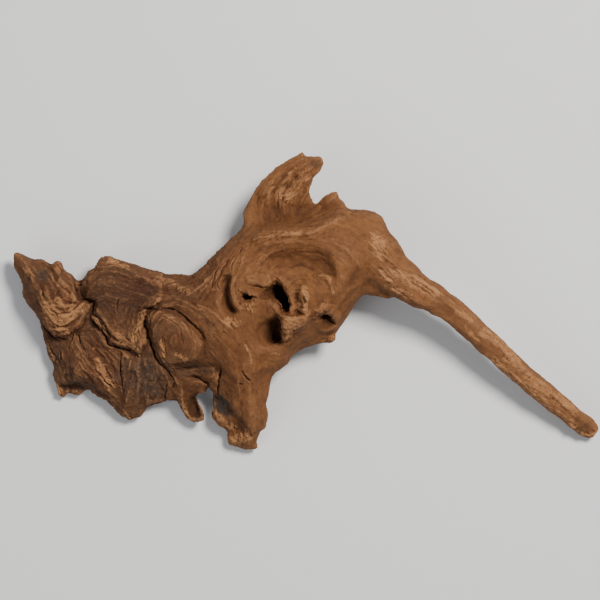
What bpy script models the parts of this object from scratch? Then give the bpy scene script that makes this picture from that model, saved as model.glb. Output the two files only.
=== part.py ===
"""River driftwood: one water-worn piece of root and branch wood, lying on its flatter side.

Frame: metres, +Z up, +X along the long arm's side, +Y towards the fin. The origin is the centre
of the footprint, on the surface that the wood lies on. Sizes below are in millimetres unless a
name says otherwise.

The broad body is cut from one outline and shaped by spot heights, as a map is. The long arm is a
tapering limb. Both are fused, hollowed, roughened and cut flat where the wood rests.
"""

import math

import bmesh
import bpy
import numpy as np
from mathutils import Vector, noise

MM = 0.001

# Seen from above, clockwise from the tip of the tongue
TONGUE = [(-229.5, 34), (-228.5, 38.5), (-225, 39), (-218.5, 35.5), (-212, 32.5),
          (-206.5, 33.5), (-202, 31), (-197, 27)]
SNAG = [(-196.5, 31), (-194, 32), (-191.5, 32), (-188, 24), (-184, 22.5), (-181, 20),
        (-178, 15.5)]
CROWN = [(-173.5, 18), (-170, 23.5), (-163.5, 27), (-161.5, 32), (-154, 36.5), (-144, 32.5),
         (-128.5, 27), (-113.5, 24)]
NECK = [(-107.5, 21.5), (-88.5, 20.5), (-83.5, 24), (-70.5, 36.5), (-53.5, 52)]
FIN = [(-48.5, 58.5), (-48, 69), (-42.5, 82), (-34, 94), (-23, 104), (-9, 112), (-5.5, 114),
       (-2.5, 117), (-0.5, 112), (5.5, 112), (10, 113), (13.5, 110.5), (14, 107), (11, 101),
       (5.5, 96), (2.5, 87), (3.5, 81), (7, 75)]
LITTLE_FIN = [(10.5, 78), (15, 82.5), (19.5, 84.5), (25, 85.5), (25.5, 80.5), (30.5, 76),
              (30.5, 72)]
SHOULDER = [(36, 71.5), (45.5, 71.5), (53, 69.5), (59.5, 65.5), (64.5, 54.5), (70.5, 47.5)]
ARM_ROOT = [(80, 31), (75, 7.5), (64, 1.5), (54, 4.5), (45, 5.5)]
POUCH = [(40, 1), (30, -15), (22.5, -25), (23.5, -29.5), (20, -32), (11, -32), (-1.5, -36)]
THIGH = [(-9, -40.5), (-14, -48.5), (-26, -57), (-28.5, -69), (-31, -79.5), (-29.5, -87),
         (-31, -99.5)]
FOOT = [(-35.5, -101), (-39, -109.5), (-37, -116), (-47.5, -117), (-51.5, -114.5),
        (-61.5, -111.5), (-60.5, -101.5), (-68.5, -98), (-74.5, -89.5), (-72.5, -83),
        (-73.5, -80), (-72, -75), (-73, -69.5), (-78, -65.5)]
TINE = [(-78, -70.5), (-85, -72.5), (-85, -76.5), (-81.5, -85), (-79, -90), (-80, -94),
        (-88, -94.5), (-92.5, -92), (-98, -84), (-99.5, -76)]
LOWER_EDGE = [(-106, -77), (-110, -77), (-114.5, -80), (-124, -82.5), (-130, -90.5),
              (-138.5, -93.5), (-145, -89), (-154, -80), (-161.5, -76.5), (-169.5, -69.5),
              (-172.5, -67.5)]
STUBS = [(-176, -73), (-179.5, -74), (-186, -71.5), (-191.5, -76), (-195, -74), (-196, -64),
         (-198.5, -57.5), (-197, -50)]
LEFT_EDGE = [(-204, -38.5), (-206, -28), (-209, -15), (-217, -3.5), (-221.5, 5.5),
             (-221.5, 14.5), (-228, 26)]
OUTLINE = (TONGUE + SNAG + CROWN + NECK + FIN + LITTLE_FIN + SHOULDER + ARM_ROOT + POUCH
           + THIGH + FOOT + TINE + LOWER_EDGE + STUBS + LEFT_EDGE)

# Each spot gives x, y, the height of the top and the height of the underside there
SPOT_HEIGHTS = [
    # tongue and its lobe
    (-227, 36, 19, 12), (-215, 26, 22, 12), (-221, 9, 19, 9), (-206, 13, 27, 9),
    (-192, 23, 25, 13), (-181, 16, 25, 12), (-199, -5, 30, 6), (-187, -17, 29, 7),
    (-211, -13, 18, 8), (-175, 1, 29, 7),
    # lower left of the plate
    (-204, -34, 15, 5), (-192, -39, 22, 6), (-194, -55, 18, 5), (-193, -72, 10, 3),
    (-178, -71, 11, 4), (-180, -57, 25, 5), (-182, -30, 25, 1),
    # crown lobe
    (-164, 15, 36, 16), (-154, 33, 31, 20), (-141, 17, 40, 14), (-121, 23, 36, 18),
    (-160, -14, 34, 7), (-137, -6, 39, 6),
    # lower lobes
    (-151, -38, 32, 7), (-162, -70, 19, 6), (-153, -57, 28, 5), (-145, -83, 16, 6),
    (-138, -91, 11, 5), (-129, -73, 26, 6), (-125, -53, 33, 5), (-110, -74, 21, 8),
    # burl and neck
    (-121, -30, 40, 5), (-102, -30, 46, 7), (-106, 1, 46, 8), (-98, 17, 42, 14),
    (-104, -55, 36, 7), (-82, -38, 46, 7), (-82, -6, 52, 7), (-79, 17, 50, 12),
    (-65, -22, 56, 7),
    # tine
    (-86, -63, 28, 12), (-97, -80, 20, 8), (-81, -91, 15, 7), (-88, -83, 13, 6),
    # leg
    (-68, -55, 42, 12), (-51, -61, 44, 9), (-34, -65, 34, 12), (-49, -80, 36, 6),
    (-34, -96, 26, 9), (-50, -100, 24, 1), (-48, -109, 18, -2), (-47, -115, 12, 1),
    (-67, -92, 22, 9), (-61, -109, 14, 6),
    # hub, west side
    (-65, 40, 50, 18), (-51, 50, 50, 20), (-55, 21, 63, 8), (-47, 1, 62, 8),
    (-34, 13, 63, 6), (-43, -22, 57, 9), (-34, -38, 52, 8), (-38, 33, 62, 9),
    # fin
    (-45, 68, 40, 28), (-32, 87, 42, 34), (-16, 99, 45, 37), (-2, 111, 49, 42),
    (11, 109, 50, 42), (-1, 95, 47, 38), (-12, 79, 42, 30), (-28, 68, 38, 20),
    (-4, 69, 42, 24), (23, 83, 46, 38), (23, 73, 47, 32),
    # ridge over the hub
    (-34, 48, 60, 12), (-16, 52, 65, 6), (3, 54, 67, 6), (23, 62, 61, 16), (35, 67, 56, 20),
    # hub, middle
    (-12, 42, 67, -3), (-14, 30, 59, 5), (-4, 18, 59, 6), (10, 29, 61, 6), (14, 13, 65, 8),
    (-1, 0, 67, 8), (-7, -16, 60, 10), (-16, -27, 53, 10),
    # hub, lower right
    (5, -22, 50, 12), (19, -27, 36, 18), (25, -13, 46, 18), (31, 1, 54, 18),
    (-4, -34, 38, 14), (-20, -47, 42, 14), (-26, -34, 50, 9),
    # shoulder
    (27, 33, 71, 9), (29, 17, 67, 12), (36, 48, 64, 14), (50, 64, 54, 24), (56, 52, 56, 24), (54, 31, 58, 24),
    (45, 13, 50, 24), (70, 31, 52, 28), (70, 9, 46, 28),
]
SPOT_SOFTNESS = 8.0
RIM_THICKNESS = 3.2
RIM_ROUNDING = 11.0

# The long arm from the shoulder to its worn tip: x, y, height of its axis, radius
ARM = [(40, 41, 42, 19), (54.8, 31, 42, 18.7), (71.6, 19.8, 42, 15.6), (87.6, 8.4, 39, 13.3),
       (105.5, -1.3, 36, 10.9), (125.8, -17.6, 32, 9.8), (142.2, -32.4, 29, 9.6),
       (164, -52.3, 25, 8.7), (187.6, -72.2, 19, 8.8), (211, -91, 13, 8.3),
       (222, -99.2, 7.4, 7.9), (227.6, -103.3, 6, 5.6)]

# Flakes that stand over their neighbours: outline, step height, width of the step
TONGUE_LOBE = [(-232, 40.5), (-191.5, 40.5), (-178.5, 16), (-176, 3), (-164.5, 0),
               (-168.5, -11), (-176, -22), (-187, -29), (-196.5, -28), (-202, -23),
               (-209, -15), (-224.5, 4.5), (-234, 31)]
CROWN_LOBE = [(-176, 18.5), (-163.5, 31), (-154, 42), (-110, 31), (-109, 1.5), (-123, -7),
              (-124.5, -19), (-121.5, -30.5), (-128.5, -42.5), (-139.5, -37.5),
              (-151, -33.5), (-156.5, -26), (-162, -21), (-167.5, -12.5), (-163.5, -1),
              (-171.5, 3)]
BURL = [(-131.5, -6.5), (-122.5, -6.5), (-112, -5), (-102, -7), (-94, -12), (-87, -18),
        (-78, -30.5), (-78, -45.5), (-90.5, -51.5), (-104.5, -54), (-113, -48.5),
        (-117, -41.5), (-121, -30.5), (-124.5, -19)]
STAINED_LOBE = [(-144, -38.5), (-132, -39), (-128.5, -43), (-117, -42.5), (-107.5, -53),
                (-102, -67), (-101, -78), (-121.5, -86), (-138.5, -97), (-148, -90),
                (-144, -83.5), (-142.5, -63.5), (-145, -56.5)]
FLAP = [(-22, -8.5), (-15.5, -9), (-11, -10.5), (-3.5, -10), (1, -11), (3, -15), (0, -20),
        (-6, -23), (-11, -26.5), (-14, -29.5), (-17.5, -32), (-18.5, -26), (-19, -21),
        (-19, -16.5), (-20, -12.5)]
STEPS = [(TONGUE_LOBE, 6, 3), (CROWN_LOBE, 3.5, 2.5), (BURL, 4.5, 7), (STAINED_LOBE, 2, 2.5),
         (FLAP, 8, 1.6)]

# Broken edges, each with the ground falling away on its left: line, how far from it the ground
# is lowest, how far out the fall reaches, its depth
LEDGES = {
    "eye": ([(-19.5, -8.6), (-13, -8.6), (-11.4, -4.5), (-11.1, -1.5), (-13, 1.5),
             (-13.3, 5.7), (-15.6, 8), (-16.6, 12), (-19.5, 14.5), (-22, 18)], 1, 24, 34),
    "under flap": ([(-17.4, -33.5), (-18.3, -26), (-19.2, -21), (-19.2, -16.5),
                    (-20.2, -12.3), (-22, -8.5)], 1, 20, 30),
    "bowl": ([(22, 4), (25, 14), (25.5, 23), (23.5, 31.5), (19, 37), (11, 40), (-2, 40.5),
              (-13, 41), (-24, 39.5), (-33, 36)], 9, 26, 8),
    "knot": ([(-37.5, 1.5), (-41.5, 5.5), (-44, 5), (-47.5, 7.5), (-51.5, 7.5)], 1, 10, 14),
    "shelf": ([(-26, 10), (-35.5, 12), (-43, 13.5)], 1, 9, 5),
    "slit": ([(-51, -8.5), (-55, -4.5), (-57.5, 0.5), (-58.5, 7), (-58, 14), (-56.5, 21)],
             1, 10, 15),
    "pouch": ([(24, -20), (21.5, -14.5), (19, -11), (15, -8.7), (10, -9.5), (6, -12)],
              1, 14, 15),
}
LEDGE_TAPER = 6.0
LEDGE_POWER = 1.4

# Clefts between the flakes, and welts and dips along the wood: line, half width, rise
CLEFTS = [
    ([(-208.5, -15), (-201.5, -23.5), (-196.5, -28.5), (-187, -29.5)], 1.8, -6),
    ([(-179, 12.5), (-178, 6), (-175, 2), (-165, -0.5), (-165.5, -8.5), (-158, -16.5),
      (-152, -27)], 1.8, -6),
    ([(-168, -9.5), (-167, -15.5), (-156, -26), (-152, -33.5), (-139, -37.5), (-129, -42.5)],
     1.8, -5),
    ([(-180, -21.5), (-176, -27.5), (-175.5, -32.5), (-170.5, -43.5)], 1.6, -4),
    ([(-144, -38.5), (-145, -56.5), (-142.5, -63.5), (-144, -76.5)], 1.6, -3.5),
    ([(-124, -7.5), (-124.5, -18.5), (-117, -41.5), (-107, -53.5), (-102, -67.5)], 1.9, -6),
    ([(-132, -6.5), (-112, -5), (-102, -7), (-94.5, -11.5), (-81.5, -23.5), (-78, -30)],
     1.9, -6),
    ([(-66.5, -49.5), (-66.5, -58.5), (-68.5, -72.5)], 1.8, -5),
    ([(-190, -67), (-181.5, -65.5), (-173, -67.5)], 4, -9),
    ([(-88.5, -59), (-81, -60), (-76.5, -62.5)], 2.2, -6),
]
WELTS = [
    # brow over the hub, with the valley in front of it and the recess behind it
    ([(-35, 51.5), (-21, 54.5), (-10, 53), (3.5, 53.5), (18.5, 61.5), (30.5, 69)], 5, 5),
    ([(-39, 59), (-24, 62), (-4.5, 64.5), (12.5, 70)], 6, -5),
    # knobbly ridge beside the eye hollow, and the groove next to it
    ([(-2.5, 7.5), (1, 2.5), (-1, -6)], 3, 4),
    ([(-7, 3.5), (-5.5, -1.5), (-7, -7)], 2.5, -5),
    ([(10.5, 20.5), (17, 19), (18.5, 13.5), (20.5, 6)], 3, 2),
    # bowl that falls away into both hollows
    ([(-32, 1), (-33, -24)], 9, -5),
    # pouch right of the flap, under its lip
    ([(9, -20), (17, -23)], 6, -5),
    ([(24, -20), (21, -29)], 3, 4),
    ([(8, -8), (16, -5), (25, -13)], 3.5, 4),
    # rim and trough of the curled tine
    ([(-97, -72), (-96.5, -82), (-91, -91), (-83, -93)], 3, 7),
    ([(-88, -77), (-86.5, -87)], 4, -8),
    ([(-81, -90), (-84, -78), (-82, -72)], 2.5, 4),
    # swell along the leg and the dip beside it
    ([(-45, -50), (-40, -75), (-42, -100)], 8, 3),
    ([(-62, -62), (-60, -85), (-54, -100)], 6, -4),
    # ribs and troughs of the plate
    ([(-215, 25), (-203, 5), (-196, -18)], 7, 2.5),
    ([(-180, -50), (-160, -62), (-145, -80)], 8, 2),
    ([(-150, 25), (-128, 12), (-100, 8)], 7, -2.5),
    ([(-98, -52), (-84, -54), (-70, -52)], 6, -6),
]
# The same for the underside, where a rise makes the wood thicker
UNDER_WELTS = [
    ([(-205, -20), (-160, -30), (-110, -20), (-60, 5), (-15, 38)], 10, 3),
    ([(-150, -75), (-120, -45), (-80, -30), (-30, -20), (25, 25)], 8, 4),
    ([(-47, -105), (-50, -70), (-40, -30), (-10, 10)], 9, 4),
    ([(-140, 10), (-110, -5), (-85, 0)], 12, -8),
    ([(-95, -60), (-70, -40), (-62, -15)], 10, -9),
    ([(-20, -30), (5, -5), (20, 40)], 12, -10),
    ([(-185, -10), (-170, 5)], 9, -6),
]

# Hollows, from their mouth down: x, y, height, half width along X and along Y
EYE_HOLLOW = [(-16.8, 2, 66, 2.2, 7), (-16, 1, 48, 4.5, 8.5), (-12.5, 1, 39, 7.5, 9),
              (-8, 0, 33, 6.5, 8), (-5, -1, 28, 3.5, 4.5)]
UNDER_FLAP_HOLLOW = [(-21.5, -20, 62, 2, 8.5), (-20.5, -20, 46, 4, 9),
                     (-16.5, -20, 38, 6.5, 8.5), (-10, -18, 32, 5, 5)]
KNOT_HOLE = [(-44.5, 3.2, 66, 4, 1.8), (-44.5, 4, 52, 5, 3), (-45, 6.5, 44, 4.5, 4),
             (-45, 9, 38, 2, 2)]
POUCH_GAP = [(16, -11.5, 52, 4.5, 1.8), (16.5, -10, 40, 6, 3.4), (17, -6, 33, 6, 5),
             (17, -2, 28, 3, 3)]
HOLLOWS = {
    "eye_hollow": EYE_HOLLOW,
    "under_flap_hollow": UNDER_FLAP_HOLLOW,
    "knot_hole": KNOT_HOLE,
    "pouch_gap": POUCH_GAP,
}
HOLLOW_SIDES = 14
HOLLOW_RAGGEDNESS = 0.12

# How fine the fused wood is worked before it is thinned to its faceted form
SHEET_HALF_DEPTH = 6.0
SHEET_CELL = 1.25
FUSE_CELL = 1.15
TRIANGLES = 11200

# Knobs and dips all over: their height, what the underside has besides, their size, how much
# flatter than wide they are, and the noise that draws them
GNARL_HEIGHT = 0.9
UNDERSIDE_GNARL = 2.0
GNARL_SIZE = 21.0
GNARL_FLATNESS = 1.6
GNARL_SMOOTHNESS = 1.0
GNARL_STEP = 2.2
GNARL_LAYERS = 2
GNARL_LEVEL = 0.5

LIMB_FACETS = 6

WOOD_COLOUR = (0.19, 0.085, 0.04, 1.0)
WOOD_ROUGHNESS = 0.78


def remove_everything():
    for item in list(bpy.data.objects):
        bpy.data.objects.remove(item, do_unlink=True)


def link(name, mesh_or_curve):
    item = bpy.data.objects.new(name, mesh_or_curve)
    bpy.context.scene.collection.objects.link(item)
    return item


def made_solid(item):
    """The object with its curve and modifiers turned into a plain mesh of its own."""
    depsgraph = bpy.context.evaluated_depsgraph_get()
    mesh = bpy.data.meshes.new_from_object(item.evaluated_get(depsgraph), depsgraph=depsgraph)
    name = item.name
    bpy.data.objects.remove(item, do_unlink=True)
    return link(name, mesh)


def remeshed(item, cell):
    modifier = item.modifiers.new("fuse", "REMESH")
    modifier.mode = "VOXEL"
    modifier.voxel_size = cell * MM
    modifier.adaptivity = 0.0
    return made_solid(item)


def coordinates(item):
    flat = np.empty(len(item.data.vertices) * 3)
    item.data.vertices.foreach_get("co", flat)
    return flat.reshape(-1, 3)


def set_coordinates(item, points):
    item.data.vertices.foreach_set("co", points.ravel())
    item.data.update()


def distance_to_line(points, line, closed=False):
    """Distance of each point to the nearest stretch of the line, all in the XY plane."""
    corners = np.array(line, dtype=float)
    ends = np.roll(corners, -1, axis=0)
    if not closed:
        corners = corners[:-1]
        ends = ends[:-1]
    nearest = np.full(len(points), np.inf)
    for start, end in zip(corners, ends):
        run = end - start
        along = ((points - start) @ run / (run @ run)).clip(0, 1)
        gap = np.linalg.norm(points - start - along[:, None] * run, axis=1)
        nearest = np.minimum(nearest, gap)
    return nearest


def inside_outline(points, outline):
    """True for each point with an odd number of the outline's edges to its left."""
    corners = np.array(outline, dtype=float)
    ends = np.roll(corners, -1, axis=0)
    inside = np.zeros(len(points), dtype=bool)
    for (x0, y0), (x1, y1) in zip(corners, ends):
        if y0 == y1:
            continue
        spans = (points[:, 1] > min(y0, y1)) & (points[:, 1] <= max(y0, y1))
        crossing = x0 + (points[:, 1] - y0) * (x1 - x0) / (y1 - y0)
        inside ^= spans & (points[:, 0] > crossing)
    return inside


def smooth_step(value):
    value = np.clip(value, 0, 1)
    return value * value * (3 - 2 * value)


def spread_heights(points, column):
    """Smooth surface through the spot heights: a multiquadric about each spot, and a constant."""
    spots = np.array(SPOT_HEIGHTS, dtype=float)
    places = spots[:, :2]
    heights = spots[:, column]

    def basis(sites):
        gaps = np.linalg.norm(sites[:, None, :] - places[None, :, :], axis=2)
        return np.sqrt(gaps ** 2 + SPOT_SOFTNESS ** 2)

    level = heights.mean()
    weights = np.linalg.solve(basis(places), heights - level)
    return basis(points) @ weights + level


def drawn_rise(points, strokes):
    """Rise from soft strokes, each a bell across its line."""
    rise = np.zeros(len(points))
    for line, half_width, height in strokes:
        rise += height * np.exp(-(distance_to_line(points, line) / half_width) ** 2)
    return rise


def ledge_fall(points, line, lowest, reach, depth):
    """Depth of the ground on the left of the line. Across the line it is a power of
    1 - d / reach at the distance d, and towards both ends of the line it tapers to nothing."""
    corners = np.array(line, dtype=float)
    lengths = np.linalg.norm(np.diff(corners, axis=0), axis=1)
    nearest = np.full(len(points), np.inf)
    left = np.zeros(len(points), dtype=bool)
    passed = np.zeros(len(points))
    begun = 0.0
    for start, run, length in zip(corners, np.diff(corners, axis=0), lengths):
        offset = points - start
        along = (offset @ run / length ** 2).clip(0, 1)
        gap = np.linalg.norm(offset - along[:, None] * run, axis=1)
        closer = gap < nearest
        nearest[closer] = gap[closer]
        left[closer] = (run[0] * offset[:, 1] - run[1] * offset[:, 0])[closer] > 0
        passed[closer] = begun + along[closer] * length
        begun += length
    taper = smooth_step(np.minimum(passed, begun - passed) / LEDGE_TAPER)
    across = smooth_step(nearest / lowest) * (1 - nearest / reach).clip(0, 1) ** LEDGE_POWER
    return np.where(left, depth * taper * across, 0)


def relief(points):
    """Rise of the top surface from the ledges, steps, clefts and welts."""
    falls = [ledge_fall(points, *ledge) for ledge in LEDGES.values()]
    rise = -np.max(falls, axis=0)
    for outline, height, width in STEPS:
        edge = distance_to_line(points, outline, closed=True)
        rise += np.where(inside_outline(points, outline), height * smooth_step(edge / width), 0)
    for line, half_width, height in CLEFTS:
        gap = distance_to_line(points, line)
        rise += height * np.clip(1 - gap / half_width, 0, 1)
    return rise + drawn_rise(points, WELTS)


def body():
    """Plate, hub, fin, leg and tine: a sheet cut to the outline, given its two shaped faces."""
    curve = bpy.data.curves.new("body", "CURVE")
    curve.dimensions = "2D"
    curve.fill_mode = "BOTH"
    curve.extrude = SHEET_HALF_DEPTH * MM
    spline = curve.splines.new("POLY")
    spline.points.add(len(OUTLINE) - 1)
    for point, (x, y) in zip(spline.points, OUTLINE):
        point.co = (x * MM, y * MM, 0, 1)
    spline.use_cyclic_u = True
    sheet = remeshed(made_solid(link("body", curve)), SHEET_CELL)

    points = coordinates(sheet) / MM
    plan = points[:, :2]
    share = points[:, 2] / np.abs(points[:, 2]).max()
    top = spread_heights(plan, 2) + relief(plan)
    under = spread_heights(plan, 3) - drawn_rise(plan, UNDER_WELTS)
    middle = (top + under) / 2
    depth = np.maximum(top - under, RIM_THICKNESS)
    inward = 1 - (distance_to_line(plan, OUTLINE, closed=True) / RIM_ROUNDING).clip(0, 1)
    swell = np.sqrt(1 - inward ** 2)
    thickness = RIM_THICKNESS + (depth - RIM_THICKNESS) * swell
    points[:, 2] = middle + share * thickness / 2
    set_coordinates(sheet, points * MM)
    return sheet


def limb(name, stations):
    """A round limb along a smooth curve, with its own radius at each station."""
    curve = bpy.data.curves.new(name, "CURVE")
    curve.dimensions = "3D"
    curve.bevel_depth = MM
    curve.bevel_resolution = LIMB_FACETS
    curve.resolution_u = LIMB_FACETS
    curve.use_fill_caps = True
    spline = curve.splines.new("BEZIER")
    spline.bezier_points.add(len(stations) - 1)
    for point, (x, y, z, radius) in zip(spline.bezier_points, stations):
        point.co = (x * MM, y * MM, z * MM)
        point.handle_left_type = "AUTO"
        point.handle_right_type = "AUTO"
        point.radius = radius
    return made_solid(link(name, curve))


def joined(name, items):
    """All the meshes in one object, still overlapping."""
    gathered = bmesh.new()
    for item in items:
        gathered.from_mesh(item.data)
        bpy.data.objects.remove(item, do_unlink=True)
    mesh = bpy.data.meshes.new(name)
    gathered.to_mesh(mesh)
    gathered.free()
    return link(name, mesh)


def keep_largest(item):
    """Drops every scrap and sealed bubble, so that one skin is left."""
    work = bmesh.new()
    work.from_mesh(item.data)
    unseen = set(work.verts)
    skins = []
    while unseen:
        front = [unseen.pop()]
        skin = []
        while front:
            vertex = front.pop()
            skin.append(vertex)
            for edge in vertex.link_edges:
                other = edge.other_vert(vertex)
                if other in unseen:
                    unseen.remove(other)
                    front.append(other)
        skins.append(skin)
    skins.sort(key=len)
    for skin in skins[:-1]:
        bmesh.ops.delete(work, geom=skin, context="VERTS")
    work.to_mesh(item.data)
    work.free()
    item.data.update()


def hollow(name, stations, seed):
    """A ragged tapering plug, ring by ring, that is taken out of the wood."""
    draw = np.random.default_rng(seed)
    work = bmesh.new()
    rings = []
    for x, y, z, wide, deep in stations:
        ring = []
        for side in range(HOLLOW_SIDES):
            angle = math.tau * side / HOLLOW_SIDES
            reach = 1 + HOLLOW_RAGGEDNESS * draw.uniform(-1, 1)
            ring.append(work.verts.new(Vector((
                x + wide * reach * math.cos(angle),
                y + deep * reach * math.sin(angle),
                z)) * MM))
        rings.append(ring)
    for upper, lower in zip(rings, rings[1:]):
        for side in range(HOLLOW_SIDES):
            following = (side + 1) % HOLLOW_SIDES
            work.faces.new((upper[side], lower[side], lower[following], upper[following]))
    work.faces.new(rings[0])
    work.faces.new(list(reversed(rings[-1])))
    bmesh.ops.recalc_face_normals(work, faces=work.faces)
    mesh = bpy.data.meshes.new(name)
    work.to_mesh(mesh)
    work.free()
    cutter = link(name, mesh)
    cutter.display_type = "WIRE"
    cutter.hide_render = True
    return cutter


def hollowed(item):
    """The wood with each hollow taken out of it."""
    cutters = [hollow(name, stations, seed)
               for seed, (name, stations) in enumerate(HOLLOWS.items())]
    for cutter in cutters:
        modifier = item.modifiers.new(cutter.name, "BOOLEAN")
        modifier.operation = "DIFFERENCE"
        modifier.object = cutter
    return made_solid(item)


def gnarled(item):
    """Moved along its normals by folded noise, which makes creases between knobs."""
    points = coordinates(item)
    normals = np.empty(len(item.data.vertices) * 3)
    item.data.vertices.foreach_get("normal", normals)
    normals = normals.reshape(-1, 3)
    rough = np.empty(len(points))
    for index, (x, y, z) in enumerate(points / MM / GNARL_SIZE):
        wave = noise.fractal(Vector((x, y, GNARL_FLATNESS * z)), GNARL_SMOOTHNESS, GNARL_STEP,
                             GNARL_LAYERS)
        rough[index] = GNARL_LEVEL - 2 * abs(wave)
    strength = GNARL_HEIGHT + UNDERSIDE_GNARL * np.clip(-normals[:, 2], 0, 1)
    set_coordinates(item, points + normals * (rough * strength)[:, None] * MM)
    return item


def thinned(item):
    """The same wood in fewer, larger facets."""
    count = sum(len(face.vertices) - 2 for face in item.data.polygons)
    modifier = item.modifiers.new("thin", "DECIMATE")
    modifier.ratio = TRIANGLES / count
    return made_solid(item)


def set_down(item):
    """Cuts the lowest knobs flat at the surface that the wood lies on."""
    work = bmesh.new()
    work.from_mesh(item.data)
    cut = bmesh.ops.bisect_plane(work, geom=work.verts[:] + work.edges[:] + work.faces[:],
                                 plane_co=(0, 0, 0), plane_no=(0, 0, -1), clear_outer=True)
    edges = [part for part in cut["geom_cut"] if isinstance(part, bmesh.types.BMEdge)]
    bmesh.ops.holes_fill(work, edges=edges)
    bmesh.ops.triangulate(work, faces=work.faces[:])
    bmesh.ops.recalc_face_normals(work, faces=work.faces)
    work.to_mesh(item.data)
    work.free()
    item.data.update()


def wood():
    material = bpy.data.materials.new("wood")
    material.use_nodes = True
    shader = material.node_tree.nodes["Principled BSDF"]
    shader.inputs["Base Color"].default_value = WOOD_COLOUR
    shader.inputs["Roughness"].default_value = WOOD_ROUGHNESS
    shader.inputs["Metallic"].default_value = 0.0
    return material


def driftwood():
    fused = remeshed(joined("driftwood", [body(), limb("arm", ARM)]), FUSE_CELL)
    fused = remeshed(hollowed(fused), FUSE_CELL)
    keep_largest(fused)
    fused = thinned(gnarled(fused))
    set_down(fused)
    keep_largest(fused)
    fused.data.materials.clear()
    fused.data.materials.append(wood())
    fused.data.shade_smooth()
    return fused


remove_everything()
driftwood()
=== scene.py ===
"""River driftwood: the finish of one water-worn piece of root and branch wood.

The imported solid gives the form. Here its surface is worked finer: flakes with crisp edges, checks
and clefts, growth layers, long fibres that follow the grain, worn knobs, pits and ragged rims. One
procedural wood material reads the masks that the carving leaves on the surface. The tables and the
carving are in millimetres in the row frame, the mesh and the settings in metres. A line or outline
in a table is a flat list: x and y of its points in turn, and z too where the table says so.
"""

import math

import bmesh
import bpy
import numpy as np
from bpy.props import FloatProperty, FloatVectorProperty, IntProperty, PointerProperty
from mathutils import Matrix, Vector


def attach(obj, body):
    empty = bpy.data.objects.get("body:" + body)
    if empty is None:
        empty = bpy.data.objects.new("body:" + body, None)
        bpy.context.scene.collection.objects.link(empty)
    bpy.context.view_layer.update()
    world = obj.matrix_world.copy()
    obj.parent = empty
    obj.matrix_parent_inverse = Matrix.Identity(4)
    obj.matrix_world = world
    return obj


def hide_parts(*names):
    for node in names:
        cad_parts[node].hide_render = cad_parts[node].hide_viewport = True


bl_info = {
    "name": "River driftwood",
    "version": (1, 0, 0),
    "blender": (4, 5, 0),
    "location": "View3D > Sidebar > Driftwood",
    "description": "Carves and finishes a piece of river driftwood over its packed solid",
    "category": "Add Mesh",
}

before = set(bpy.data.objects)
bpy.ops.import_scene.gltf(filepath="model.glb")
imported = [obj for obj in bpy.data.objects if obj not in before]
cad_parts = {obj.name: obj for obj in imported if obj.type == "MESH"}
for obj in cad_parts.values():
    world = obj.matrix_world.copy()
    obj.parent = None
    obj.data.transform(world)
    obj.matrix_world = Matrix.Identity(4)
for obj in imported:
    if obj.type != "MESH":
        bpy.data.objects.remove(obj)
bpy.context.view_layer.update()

MM = 0.001
NODE = "driftwood"
WELD = 1e-6
EASE_ROUNDS = 10

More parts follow.
